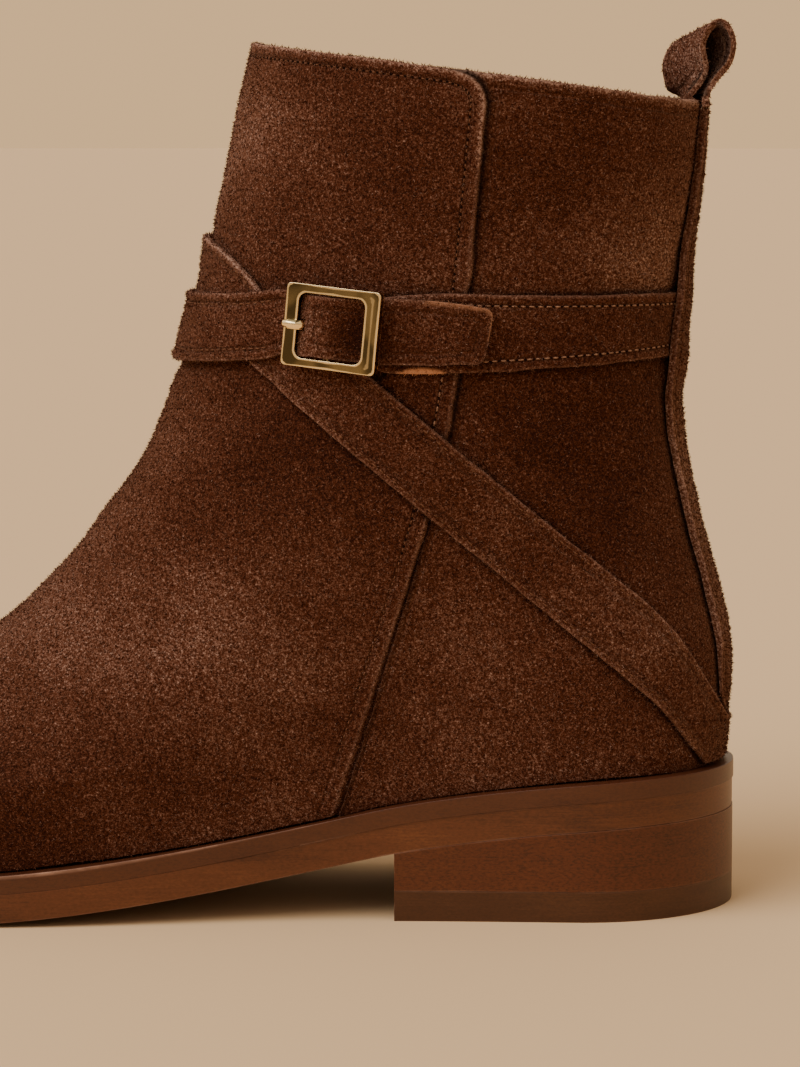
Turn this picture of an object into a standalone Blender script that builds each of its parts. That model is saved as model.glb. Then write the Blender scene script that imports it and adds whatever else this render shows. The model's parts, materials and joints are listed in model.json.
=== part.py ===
"""A left ankle boot in suede with a heel strap, a buckled ankle strap and a stacked leather heel.

Sizes are in millimetres in the tables and are turned into metres when a mesh is made.
The toe points to -X, the outer (lateral) side to -Y and the collar to +Z.
"forward" is the distance from the back of the heel towards the toe.
"""

import functools
import math
from collections import namedtuple

import bmesh
import bpy
import numpy as np
from mathutils import Vector

MM = 0.001

# Sole. Heights in this file are counted from a line just above the floor.
SOLE_THICK = 9.7
WELT_THICK = 3.5
FLOOR = -0.7
TOP_LIFT_TOP = 5.6
HEEL_BREAST = 69.0
FLAT_REAR = 172.0
FLAT_FRONT = 200.0
TOE_SPRING = 7.0
BREAST_HEIGHT = 23.1
WAIST_SLOPE = 0.23
SEAT_SLOPE = 0.165
SEAT_CURVE = 0.00115
SOLE_EDGE_FOREPART = 3.2
SOLE_EDGE_HEEL = 2.0
OUTSOLE_INSET = 0.25
HEEL_INSET = 0.15

# Upper
WALL = 2.6
PANEL_STEP = 1.2
SEAT_GAP = 0.3
INSOLE_THICK = 2.4
INSOLE_INSET = WALL + 0.8

# The upper is a stack of closed sections, each running from a point on the front line (toe, vamp,
# instep, shin) to a point on the back line (heel, Achilles, collar). nose and heel are the lengths
# over which the section rounds off at its two ends. shaft_share goes from the foot's own plan (0)
# to the oval of the shaft (1), whose half width is given. dip says how far the section follows the
# hollow of the feather line between heel seat and toe.
Level = namedtuple(
    "Level",
    "front_forward front_height back_forward back_height nose heel shaft_share half_width dip",
)
LEVELS = [
    Level(266.0, 16.0, 1.8, 29.0, 75, 30, 0.00, 33.0, 1.00),
    Level(267.0, 20.5, 1.1, 36.0, 72, 31, 0.00, 33.0, 1.00),
    Level(264.0, 26.0, 0.5, 43.0, 84, 32, 0.00, 33.0, 1.05),
    Level(255.0, 30.0, 0.7, 50.0, 97, 33, 0.00, 33.0, 1.10),
    Level(240.0, 33.0, 1.4, 56.5, 103, 34, 0.01, 33.0, 1.20),
    Level(220.0, 35.8, 2.8, 62.5, 104, 35, 0.03, 33.0, 1.30),
    Level(200.0, 39.2, 4.4, 69.0, 98, 36, 0.08, 33.0, 1.30),
    Level(180.0, 44.6, 6.6, 76.0, 90, 37, 0.16, 33.0, 1.20),
    Level(163.0, 51.9, 8.3, 83.0, 82, 38, 0.28, 33.0, 1.05),
    Level(148.7, 62.6, 9.8, 90.0, 74, 40, 0.45, 33.0, 0.85),
    Level(137.0, 75.6, 11.0, 97.0, 66, 42, 0.65, 33.0, 0.60),
    Level(127.6, 88.6, 11.7, 103.5, 60, 43, 0.85, 33.0, 0.35),
    Level(120.3, 102.0, 12.1, 110.0, 56, 44, 0.97, 33.0, 0.15),
    Level(114.6, 116.5, 12.1, 119.0, 53, 45, 1.00, 33.2, 0.04),
    Level(111.0, 130.0, 11.0, 129.5, 51, 46, 1.00, 33.8, 0.00),
    Level(108.2, 146.0, 8.8, 142.0, 49, 46, 1.00, 34.8, 0.00),
    Level(105.2, 163.0, 7.5, 155.0, 48, 46, 1.00, 36.0, 0.00),
    Level(101.5, 178.8, 6.7, 166.1, 48, 46, 1.00, 37.0, 0.00),
]
TOP = len(LEVELS) - 1

# Plan of the foot: half widths on the outer and inner side of a centre line that swings to the
# inner side at the toe.
Station = namedtuple("Station", "forward lateral medial swing")
FOOT = [
    Station(0, 28.0, 28.0, 0.0),
    Station(35, 29.0, 28.5, 0.0),
    Station(69, 30.5, 28.0, 0.0),
    Station(98, 33.0, 28.0, -1.0),
    Station(130, 38.5, 34.0, -2.0),
    Station(165, 42.5, 41.0, -1.5),
    Station(200, 42.0, 42.0, 1.0),
    Station(235, 40.5, 41.0, 4.5),
    Station(272, 39.5, 40.0, 8.0),
]

# Rear edge of the front panel, from the welt up to its rounded corner at the collar
PanelEdge = namedtuple("PanelEdge", "height forward")
PANEL_EDGE = [
    PanelEdge(20.0, 82.0),
    PanelEdge(62.0, 68.7),
    PanelEdge(98.5, 58.6),
    PanelEdge(129.0, 54.2),
    PanelEdge(166.0, 50.5),
]
PANEL_CORNER = 6.5

# Straps: suede bands that lie on the upper and on each other
STRAP_THICK = 1.3
STRAP_GAP = 0.35
LAYER = STRAP_THICK + STRAP_GAP
DRAPE = 9.0
BACK_END_TURN = 0.012

# Heel strap: a straight band in the side view that bends down into the welt at the back
HEEL_STRAP_START = 27.0
HEEL_STRAP_MIDDLE = 62.9
HEEL_STRAP_SLOPE = 0.835
HEEL_STRAP_RISE = 18.6
HEEL_STRAP_BEND = 14.0
HEEL_STRAP_BEND_FROM = 18.0
HEEL_STRAP_FRONT_BEND = 2.6
HEEL_STRAP_FRONT_FROM = 96.0
HEEL_STRAP_FRONT_REACH = 14.0
HEEL_STRAP_SLACK = 0.8
HEEL_STRAP_SLACK_REACH = 10.0
HEEL_STRAP_DIP = 3.4
HEEL_STRAP_DIP_AT = 92.0
HEEL_STRAP_DIP_REACH = 6.5
HEEL_STRAP_FOOT_GAP = 1.0
HEEL_STRAP_FOOT_RISE = 3.0
HEEL_STRAP_RINGS = 76

# Ankle strap along the outer side, from the front of the ankle through the buckle to its tip:
# heights of its two edges, and the lift of its inner face at the lower edge, middle and upper edge
StrapRow = namedtuple("StrapRow", "forward lower upper lift_lower lift_middle lift_upper")
ANKLE_STRAP = [
    StrapRow(111.0, 112.3, 126.4, 1.6, 1.95, 2.2),
    StrapRow(104.0, 112.8, 127.0, 1.85, 2.1, 2.25),
    StrapRow(97.0, 113.6, 127.9, 2.0, 2.05, 2.1),
    StrapRow(91.5, 114.4, 128.5, 2.0, 2.0, 2.0),
    StrapRow(88.6, 115.5, 127.9, 2.0, 2.05, 2.0),
    StrapRow(87.2, 115.4, 127.8, 1.95, 2.0, 2.0),
    StrapRow(86.0, 115.4, 127.7, 2.1, 2.75, 2.8),
    StrapRow(85.0, 115.3, 127.6, 3.0, 3.75, 3.7),
    StrapRow(84.0, 115.2, 127.5, 3.9, 4.5, 4.4),
    StrapRow(82.5, 115.1, 127.4, 4.9, 5.1, 4.9),
    StrapRow(80.8, 114.9, 127.2, 4.95, 5.15, 4.95),
    StrapRow(79.0, 114.7, 127.1, 4.3, 4.45, 4.3),
    StrapRow(76.0, 114.4, 126.8, 3.0, 3.05, 3.0),
    StrapRow(73.0, 114.2, 126.6, 2.45, 2.45, 2.45),
    StrapRow(70.0, 113.7, 127.2, 2.1, 2.1, 2.1),
    StrapRow(66.0, 113.8, 127.1, 2.05, 2.05, 2.05),
    StrapRow(58.0, 113.7, 126.4, 2.0, 2.0, 2.0),
    StrapRow(51.6, 113.9, 125.4, 2.0, 2.0, 2.0),
    StrapRow(50.2, 114.4, 124.8, 2.0, 2.0, 2.0),
    StrapRow(49.5, 115.7, 123.8, 2.0, 2.0, 2.0),
]
INNER_SIDE_LOWER = 114.2
INNER_SIDE_UPPER = 127.6
INNER_SIDE_RISE = (63.0, 76.0)
INNER_SIDE_TURN_UP = (100.0, 111.0)
INNER_SIDE_RINGS = 36
ANKLE_STRAP_MIDDLE = 121.2
FRONT_TURN_STEP = math.radians(5)
FRONT_TURNS = 6

# Buckle strap along the outer side, from under the back strip to the buckle's bar
TailRow = namedtuple("TailRow", "forward lower upper lift thick")
BUCKLE_STRAP = [
    TailRow(11.5, 114.6, 127.3, STRAP_GAP, 1.3),
    TailRow(27.0, 113.4, 127.5, STRAP_GAP, 1.3),
    TailRow(47.0, 112.3, 127.7, STRAP_GAP, 1.3),
    TailRow(66.0, 111.9, 128.0, STRAP_GAP, 1.3),
    TailRow(70.0, 112.3, 127.6, 0.4, 1.3),
    TailRow(73.0, 113.6, 127.0, 0.8, 1.25),
    TailRow(76.0, 114.9, 126.7, 1.5, 1.1),
    TailRow(78.2, 115.1, 126.8, 2.0, 0.9),
    TailRow(81.5, 115.3, 126.9, 2.0, 0.9),
]
BUCKLE_STRAP_MIDDLE = 120.5
BACK_TURN_STEP = 0.08
BACK_TURNS = 9
SIDE_FROM = 24
SIDE_STEP = 3

# Back strip over the back seam
STRIP_THICK = 1.5
StripRow = namedtuple("StripRow", "height half_width")
BACK_STRIP = [
    StripRow(36.0, 8.8),
    StripRow(60.0, 9.2),
    StripRow(80.0, 8.8),
    StripRow(95.0, 9.6),
    StripRow(108.0, 10.6),
    StripRow(128.0, 9.2),
    StripRow(150.0, 6.4),
    StripRow(168.0, 4.4),
]
STRIP_BULGE = (113.0, 128.5)
STRIP_BULGE_FADE = 7.0
STRIP_FOOT_GAP = 0.9
STRIP_SKIVE = 0.4
STRIP_SKIVE_SHARE = 0.14
STRIP_FOOT_TURN = 0.21
STRIP_TOP_DROP = 0.1
STRIP_RINGS = 30

# Pull loop: side view of its middle line, from inside the collar up and down to the back strip
LOOP_WIDTH = 13.0
LOOP_THICK = 1.5
LOOP_TWIST = 42.0
LOOP_ROLL = 19.0
LOOP_TWIST_FROM = 166.3
LOOP_TWIST_REACH = 5.5
LOOP_RINGS = 32
LoopPoint = namedtuple("LoopPoint", "forward height")
PULL_LOOP = [
    LoopPoint(12.3, 156.5),
    LoopPoint(11.5, 166.0),
    LoopPoint(10.5, 169.4),
    LoopPoint(10.9, 172.4),
    LoopPoint(11.6, 175.6),
    LoopPoint(10.1, 179.7),
    LoopPoint(8.0, 180.9),
    LoopPoint(6.0, 179.1),
    LoopPoint(5.4, 175.4),
    LoopPoint(6.5, 171.8),
    LoopPoint(7.8, 169.4),
    LoopPoint(7.4, 167.4),
    LoopPoint(6.8, 165.5),
]

# Buckle: a flat frame lying on the ankle strap, with a centre bar under it and a prong over it
FRAME_LONG = 20.9
FRAME_HIGH = 16.7
FRAME_OFFSET = 1.4
FRAME_THICK = 1.9
FRAME_FRONT_BAR = 2.8
FRAME_REAR_BAR = 3.2
FRAME_SIDE_BAR = 1.7
FRAME_CORNER = 0.9
FRAME_INNER_CORNER = 1.8
FRAME_FRONT_REST = (89.3, 121.8, 3.9)
FRAME_REAR_REST = (72.6, 120.3, 5.4)
FRAME_MIDDLE = 121.0
CORNER_STEPS = 5
BAR_RADIUS = 0.7
BAR_PLACE = (81.0, 121.0)
BAR_LIFT = 3.95
BAR_SIDES = 12
PRONG_WIDTH = 2.0
PRONG_THICK = 1.1
PRONG_TIP = 0.6
PRONG_SIDES = 8
PRONG_SLOT = (-6.0, -3.6, 1.25)
SLOT_DEPTH = (-3.0, 5.0)
ProngPoint = namedtuple("ProngPoint", "along out")
PRONG = [
    ProngPoint(-1.3, -0.6),
    ProngPoint(-2.4, -1.1),
    ProngPoint(-3.4, -1.5),
    ProngPoint(-4.3, -0.95),
    ProngPoint(-4.7, 0.5),
    ProngPoint(-5.15, 1.9),
    ProngPoint(-6.0, 2.7),
    ProngPoint(-7.5, 2.72),
    ProngPoint(-9.0, 2.6),
]


def lerp(start, end, share):
    return start + (end - start) * share


def ease(share):
    """Smooth step from 0 to 1."""
    share = min(max(share, 0.0), 1.0)
    return share * share * (3 - 2 * share)


def spline(xs, ys):
    """Natural cubic curve through the points (xs, ys)."""
    xs, ys = np.asarray(xs, float), np.asarray(ys, float)
    count, gap = len(xs), np.diff(xs)
    rise = np.diff(ys) / gap
    matrix, right = np.eye(count), np.zeros(count)
    for i in range(1, count - 1):
        matrix[i, i - 1 : i + 2] = gap[i - 1], 2 * (gap[i - 1] + gap[i]), gap[i]
        right[i] = 6 * (rise[i] - rise[i - 1])
    bend = np.linalg.solve(matrix, right)

    def at(x):
        x = min(max(x, xs[0]), xs[-1])
        i = min(int(np.searchsorted(xs, x, side="right")) - 1, count - 2)
        t = x - xs[i]
        slope = rise[i] - gap[i] * (2 * bend[i] + bend[i + 1]) / 6
        return ys[i] + t * (slope + t * (bend[i] / 2 + t * (bend[i + 1] - bend[i]) / (6 * gap[i])))

    return at


def table_curves(rows, across):
    """One smooth curve for each column of a table, over the column named across or the row number."""
    xs = range(len(rows)) if across is None else [getattr(row, across) for row in rows]
    return {name: spline(xs, [getattr(row, name) for row in rows]) for name in rows[0]._fields}


LEVEL = table_curves(LEVELS, None)
PLAN = table_curves(FOOT, "forward")
PANEL = table_curves(PANEL_EDGE, "height")


def feather(forward):
    """Height of the welt's top: heel seat, waist, flat forepart and toe spring."""
    flat = FLOOR + SOLE_THICK
    if forward > FLAT_FRONT:
        share = (forward - FLAT_FRONT) / (LEVELS[0].front_forward - FLAT_FRONT)
        return flat + TOE_SPRING * share**2
    if forward > FLAT_REAR:
        return flat
    if forward > HEEL_BREAST:
        waist = FLAT_REAR - HEEL_BREAST
        t = (FLAT_REAR - forward) / waist
        return flat + (BREAST_HEIGHT - flat) * ease(t) + WAIST_SLOPE * waist * (t**3 - t**2)
    back = HEEL_BREAST - forward
    return BREAST_HEIGHT + SEAT_SLOPE * back - SEAT_CURVE * back**2


def rounded(share):
    """Quarter of an ellipse: 0 at a section's tip, 1 where its rounding ends."""
    return math.sqrt(1 - (1 - min(max(share, 0.0), 1.0)) ** 2)


@functools.lru_cache(maxsize=None)
def level_row(level):
    """Row of the section table at any level between its own rows."""
    return {name: curve(level) for name, curve in LEVEL.items()}


def last_point(level, turn):
    """Point of the boot's outer form. turn is 0 at the front line, pi at the back line, and the
    outer side lies between them; the inner side follows from pi to 2 pi."""
    row = level_row(level)
    share = (1 - math.cos(turn)) / 2
    forward = lerp(row["front_forward"], row["back_forward"], share)
    first = LEVELS[0]
    hollow = feather(lerp(first.front_forward, first.back_forward, share))
    hollow -= lerp(feather(first.front_forward), feather(first.back_forward), share)
    height = lerp(row["front_height"], row["back_height"], share) + row["dip"] * hollow
    outer = math.sin(turn) >= 0
    half = lerp(PLAN["lateral" if outer else "medial"](forward), row["half_width"], row["shaft_share"])
    half *= rounded((row["front_forward"] - forward) / row["nose"])
    half *= rounded((forward - row["back_forward"]) / row["heel"])
    middle = PLAN["swing"](forward) * (1 - row["shaft_share"])
    return np.array([-forward, middle - half if outer else middle + half, height])


def outward(level, turn):
    """Unit normal of the outer form."""
    step = 1e-3
    along = last_point(level, turn + step) - last_point(level, turn - step)
    up = last_point(min(level + step, TOP), turn) - last_point(max(level - step, 0), turn)
    normal = np.cross(along, up)
    return normal / np.linalg.norm(normal)


def skin(level, turn, lift):
    """Point at a given lift above the outer form; a negative lift lies inside it."""
    return last_point(level, turn) + lift * outward(level, turn)


def bisect(function, low, high):
    """Where a function changes sign between low and high."""
    sign = function(low) > 0
    for _ in range(40):
        middle = (low + high) / 2
        if (function(middle) > 0) == sign:
            low = middle
        else:
            high = middle
    return (low + high) / 2


def panel_forward(height):
    """Rear edge of the front panel in the side view, with its rounded top corner."""
    corner = max(0.0, height - PANEL_EDGE[-1].height)
    drop = PANEL_CORNER - math.sqrt(max(PANEL_CORNER**2 - corner**2, 0.0))
    return PANEL["forward"](height) + drop


@functools.lru_cache(maxsize=None)
def panel_turn(level):
    """Turn at which a section crosses the front panel's edge on the outer side."""

    def past(turn):
        point = last_point(level, turn)
        return -point[0] - panel_forward(point[2])

    return bisect(past, 0.0, math.pi)


def new_object(name, mesh, colour, roughness, metallic=0.0):
    material = bpy.data.materials.new(name)
    material.use_nodes = True
    shader = material.node_tree.nodes["Principled BSDF"]
    shader.inputs["Base Color"].default_value = (*colour, 1.0)
    shader.inputs["Roughness"].default_value = roughness
    shader.inputs["Metallic"].default_value = metallic
    mesh.materials.append(material)
    item = bpy.data.objects.new(name, mesh)
    bpy.context.scene.collection.objects.link(item)
    return item


def loft(name, rings, closed):
    """Closed skin through rings of points in millimetres: a loop of rings, or a run with two caps."""
    shape = bmesh.new()
    loops = [[shape.verts.new(Vector(point) * MM) for point in ring] for ring in rings]
    pairs = list(zip(loops, loops[1:] + loops[:1])) if closed else list(zip(loops, loops[1:]))
    for one, two in pairs:
        for i in range(len(one)):
            j = (i + 1) % len(one)
            shape.faces.new((one[i], one[j], two[j], two[i]))
    if not closed:
        shape.faces.new(loops[0])
        shape.faces.new(loops[-1])
    bmesh.ops.recalc_face_normals(shape, faces=shape.faces)
    mesh = bpy.data.meshes.new(name)
    shape.to_mesh(mesh)
    shape.free()
    mesh.shade_smooth()
    mesh.set_sharp_from_angle(angle=math.radians(35))
    return mesh


SUEDE = (0.075, 0.028, 0.012)
SOLE_LEATHER = (0.16, 0.05, 0.02)
LIFT_RUBBER = (0.07, 0.03, 0.016)
LINING = (0.42, 0.27, 0.16)
GOLD = (0.83, 0.66, 0.34)


# Upper: one wall, with the front panel standing proud of the quarters by its own thickness. Its rings
# lie closer together at the foot and round the panel's top corner.
PANEL_COLUMNS = 16
QUARTER_COLUMNS = 10
OUTER_LEVELS = list(np.arange(0, 4, 0.5)) + list(np.linspace(4, TOP - 0.6, 20))
OUTER_LEVELS += [TOP - 0.4, TOP - 0.27, TOP - 0.16, TOP - 0.07, TOP]
INNER_LEVELS = list(np.linspace(0, TOP, 16))
STEP_WIDTH = 0.012


def upper_columns():
    """Each column is a share of the way from the front line to the panel's edge, or from the edge
    to the back line, with the lift of the outer face there. It is run on both sides."""
    front = [("panel", k / PANEL_COLUMNS) for k in range(PANEL_COLUMNS + 1)]
    rear = [("quarter", k / QUARTER_COLUMNS) for k in range(QUARTER_COLUMNS + 1)]
    outer = [(part, share, False) for part, share in front + rear]
    inner = [(part, share, True) for part, share in rear[-2::-1] + front[:0:-1]]
    return outer + inner


def column_turn(part, share, mirrored, level):
    edge = panel_turn(level)
    turn = edge * share if part == "panel" else lerp(edge + STEP_WIDTH, math.pi, share)
    return 2 * math.pi - turn if mirrored else turn


def upper_mesh():
    rings = []
    for part, share, mirrored in upper_columns():
        lift = 0.0 if part == "panel" else -PANEL_STEP
        ring = [skin(level, column_turn(part, share, mirrored, level), lift) for level in OUTER_LEVELS]
        inside = [skin(level, column_turn(part, share, mirrored, level), -WALL) for level in INNER_LEVELS]
        for foot in (ring[0], inside[0]):
            foot[2] = feather(-foot[0]) + SEAT_GAP
        rings.append(ring + inside[::-1])
    return loft("upper", rings, closed=True)


# Sole: plates whose plan follows the feather line, set out by the sole's edge
PLATE_STATIONS = 44
TIP = 0.02


def sole_edge(forward):
    """How far the welt stands out from the upper."""
    return lerp(SOLE_EDGE_HEEL, SOLE_EDGE_FOREPART, ease((forward - HEEL_BREAST) / 80))


def plan_point(forward, outer, grow):
    """Side of the foot's plan at the feather line, set out by grow."""
    first = LEVELS[0]
    half = PLAN["lateral" if outer else "medial"](forward) + grow
    half *= rounded((first.front_forward + grow - forward) / (first.nose + grow))
    half *= rounded((forward - first.back_forward + grow) / (first.heel + grow))
    middle = PLAN["swing"](forward)
    return middle - half if outer else middle + half


def plate_mesh(name, top, bottom, edge, rear, front):
    """Plate between two height curves, from one forward position to another."""
    rings = []
    for k in range(PLATE_STATIONS + 1):
        angle = lerp(TIP, math.pi - TIP, k / PLATE_STATIONS)
        forward = lerp(rear, front, (1 - math.cos(angle)) / 2)
        lateral = plan_point(forward, True, edge(forward))
        medial = plan_point(forward, False, edge(forward))
        corners = ((lateral, top), (lateral, bottom), (medial, bottom), (medial, top))
        rings.append([(-forward, side, height(forward)) for side, height in corners])
    return loft(name, rings, closed=False)


def welt_bottom(forward):
    return feather(forward) - WELT_THICK


def outsole_bottom(forward):
    return max(feather(forward) - SOLE_THICK, FLOOR)


def make_sole():
    first = LEVELS[0]
    toe = first.front_forward + SOLE_EDGE_FOREPART
    back = first.back_forward - SOLE_EDGE_HEEL

    def outsole_edge(forward):
        return sole_edge(forward) - OUTSOLE_INSET

    def heel_edge(forward):
        return sole_edge(forward) - HEEL_INSET

    welt = plate_mesh("welt", feather, welt_bottom, sole_edge, back, toe)
    new_object("welt", welt, SOLE_LEATHER, 0.45)
    outsole = plate_mesh(
        "outsole",
        lambda forward: welt_bottom(forward) - SEAT_GAP,
        outsole_bottom,
        outsole_edge,
        back + OUTSOLE_INSET,
        toe - OUTSOLE_INSET,
    )
    new_object("outsole", outsole, SOLE_LEATHER, 0.45)
    heel_back = back + HEEL_INSET
    stack = plate_mesh(
        "heel_stack",
        lambda forward: outsole_bottom(forward) - SEAT_GAP,
        lambda forward: TOP_LIFT_TOP,
        heel_edge,
        heel_back,
        HEEL_BREAST,
    )
    new_object("heel_stack", stack, SOLE_LEATHER, 0.45)
    lift = plate_mesh(
        "top_lift",
        lambda forward: TOP_LIFT_TOP - SEAT_GAP,
        lambda forward: FLOOR,
        heel_edge,
        heel_back,
        HEEL_BREAST,
    )
    new_object("top_lift", lift, LIFT_RUBBER, 0.5)
    insole = plate_mesh(
        "insole",
        lambda forward: feather(forward) + SEAT_GAP + INSOLE_THICK,
        lambda forward: feather(forward) + SEAT_GAP,
        lambda forward: -INSOLE_INSET,
        first.back_forward + INSOLE_INSET,
        first.front_forward - INSOLE_INSET,
    )
    new_object("insole", insole, LINING, 0.6)


def level_at(turn, height):
    """Level at which the outer form crosses a height line, given as a curve over forward."""

    def above(level):
        point = last_point(level, turn)
        return point[2] - height(-point[0])

    return bisect(above, 0.0, TOP)


def place_at(forward, height):
    """Level and turn of a point of the outer side, from its place in the side view."""

    def past(turn):
        return -last_point(level_at(turn, lambda _: height), turn)[0] - forward

    turn = bisect(past, 0.0, math.pi)
    return level_at(turn, lambda _: height), turn


def rest_lift(level, turn):
    """Lift of the upper's outer face as a strap follows it: level with the front panel, then eased
    down on to the quarter behind the panel's edge."""
    point = last_point(level, turn)
    behind = panel_forward(point[2]) + point[0]
    return -PANEL_STEP * ease(behind / DRAPE)


def band_ring(turn, heights, lifts, thick):
    """Closed section of a strap at one turn, through a few heights across it."""
    inside, outside = [], []
    for height, lift in zip(heights, lifts):
        level = level_at(turn, height)
        rest = rest_lift(level, turn) + lift
        inside.append(skin(level, turn, rest))
        outside.append(skin(level, turn, rest + thick))
    return inside + outside[::-1]


def heel_strap_height(across):
    """Height line of the heel strap in the side view, -1 at its lower edge and 1 at its upper edge."""

    def height(forward):
        back = max(0.0, HEEL_STRAP_BEND_FROM - forward) / HEEL_STRAP_BEND_FROM
        front = max(0.0, forward - HEEL_STRAP_FRONT_FROM) / HEEL_STRAP_FRONT_REACH
        line = HEEL_STRAP_MIDDLE + HEEL_STRAP_SLOPE * (forward - HEEL_STRAP_START)
        line += across * HEEL_STRAP_RISE / 2
        line -= HEEL_STRAP_BEND * back**2 + HEEL_STRAP_FRONT_BEND * front**2
        beside = (forward - HEEL_STRAP_DIP_AT) / HEEL_STRAP_DIP_REACH
        line -= HEEL_STRAP_DIP * math.exp(-(beside**2)) * (across + 1) / 2
        foot = feather(forward) + HEEL_STRAP_FOOT_GAP + HEEL_STRAP_FOOT_RISE * (across + 1)
        return max(line, foot)

    return height


def make_heel_strap():
    heights = [heel_strap_height(across) for across in (-1, 0, 1)]
    rings = []
    for k in range(HEEL_STRAP_RINGS):
        turn = 2 * math.pi * k / HEEL_STRAP_RINGS
        forward = -last_point(level_at(turn, heights[1]), turn)[0]
        slack = HEEL_STRAP_SLACK * ease((forward - HEEL_STRAP_FRONT_FROM) / HEEL_STRAP_SLACK_REACH)
        lifts = (STRAP_GAP, STRAP_GAP + 0.3 * slack, STRAP_GAP + slack)
        rings.append(band_ring(turn, heights, lifts, STRAP_THICK))
    new_object("heel_strap", loft("heel_strap", rings, closed=True), SUEDE, 0.95)


def level_lines(lower, upper):
    """Three level height lines across a strap."""
    return [lambda _, height=height: height for height in (lower, (lower + upper) / 2, upper)]


def ease_between(value, bounds):
    """Smooth step over a range given by its two ends."""
    low, high = bounds
    return ease((value - low) / (high - low))


def make_ankle_strap():
    curves = table_curves(ANKLE_STRAP[::-1], "forward")
    rings = []
    for k in range(INNER_SIDE_RINGS + 1):
        turn = lerp(math.pi + BACK_END_TURN, 2 * math.pi, k / INNER_SIDE_RINGS)
        level = level_at(turn, lambda _: INNER_SIDE_UPPER)
        forward = -last_point(level, turn)[0]
        raised = ease_between(forward, INNER_SIDE_RISE)
        front = ease_between(forward, INNER_SIDE_TURN_UP)
        first = ANKLE_STRAP[0]
        lower = lerp(INNER_SIDE_LOWER, first.lower, front)
        upper = lerp(INNER_SIDE_UPPER, first.upper, front)
        lifted = STRAP_GAP + LAYER * raised
        lifts = [lerp(lifted, lift, front) for lift in first[3:]]
        rings.append(band_ring(turn, level_lines(lower, upper), lifts, STRAP_THICK))
    turns = [FRONT_TURN_STEP * (k + 1) for k in range(FRONT_TURNS)]
    stations = [row.forward for row in ANKLE_STRAP[1:]]
    stations += [(one + two) / 2 for one, two in zip(stations, stations[1:])]
    turns += [place_at(forward, ANKLE_STRAP_MIDDLE)[1] for forward in sorted(stations, reverse=True)]
    for turn in turns:
        forward = -last_point(level_at(turn, lambda _: ANKLE_STRAP_MIDDLE), turn)[0]
        row = {name: curve(forward) for name, curve in curves.items()}
        lines = level_lines(row["lower"], row["upper"])
        lifts = (row["lift_lower"], row["lift_middle"], row["lift_upper"])
        rings.append(band_ring(turn, lines, lifts, STRAP_THICK))
    return new_object("ankle_strap", loft("ankle_strap", rings, closed=False), SUEDE, 0.95)


def make_buckle_strap():
    curves = table_curves(BUCKLE_STRAP, "forward")
    turns = [math.pi - BACK_END_TURN - BACK_TURN_STEP * k for k in range(BACK_TURNS)]
    end = BUCKLE_STRAP[-1].forward
    stations = [*np.arange(SIDE_FROM, end - SIDE_STEP / 2, SIDE_STEP), end]
    turns += [place_at(forward, BUCKLE_STRAP_MIDDLE)[1] for forward in stations]
    rings = []
    for turn in turns:
        forward = -last_point(level_at(turn, lambda _: BUCKLE_STRAP_MIDDLE), turn)[0]
        row = {name: curve(forward) for name, curve in curves.items()}
        lines = level_lines(row["lower"], row["upper"])
        rings.append(band_ring(turn, lines, (row["lift"],) * 3, row["thick"]))
    new_object("buckle_strap", loft("buckle_strap", rings, closed=False), SUEDE, 0.95)


def make_back_strip():
    half_width = table_curves(BACK_STRIP, "height")["half_width"]
    low_bulge, high_bulge = STRIP_BULGE
    rings = []
    shares = (-1.0, -0.5, 0.0, 0.5, 1.0)
    upper_edge = heel_strap_height(1)

    def foot(forward):
        return upper_edge(forward) + STRIP_FOOT_GAP

    starts = [level_at(math.pi + STRIP_FOOT_TURN * share, foot) for share in shares]
    for k in range(STRIP_RINGS + 1):
        inside, outside = [], []
        for share, start in zip(shares, starts):
            level = lerp(start, TOP - STRIP_TOP_DROP, k / STRIP_RINGS)
            row = level_row(level)
            height = last_point(level, math.pi)[2]
            width = abs(share) * half_width(height)
            half = lerp(PLAN["lateral"](row["back_forward"]), row["half_width"], row["shaft_share"])
            depth = row["heel"] * (1 - math.sqrt(1 - (width / half) ** 2))
            along = depth / (row["front_forward"] - row["back_forward"])
            turn = math.acos(2 * along - 1)
            turn = turn if share < 0 else 2 * math.pi - turn
            outside_bulge = max(low_bulge - height, height - high_bulge, 0.0)
            bulge = LAYER * ease(1 - outside_bulge / STRIP_BULGE_FADE)
            lift = STRAP_GAP - PANEL_STEP + bulge
            thick = STRIP_THICK * lerp(STRIP_SKIVE, 1.0, ease(k / STRIP_RINGS / STRIP_SKIVE_SHARE))
            inside.append(skin(level, turn, lift))
            outside.append(skin(level, turn, lift + thick))
        rings.append(inside + outside[::-1])
    new_object("back_strip", loft("back_strip", rings, closed=False), SUEDE, 0.95)


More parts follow.
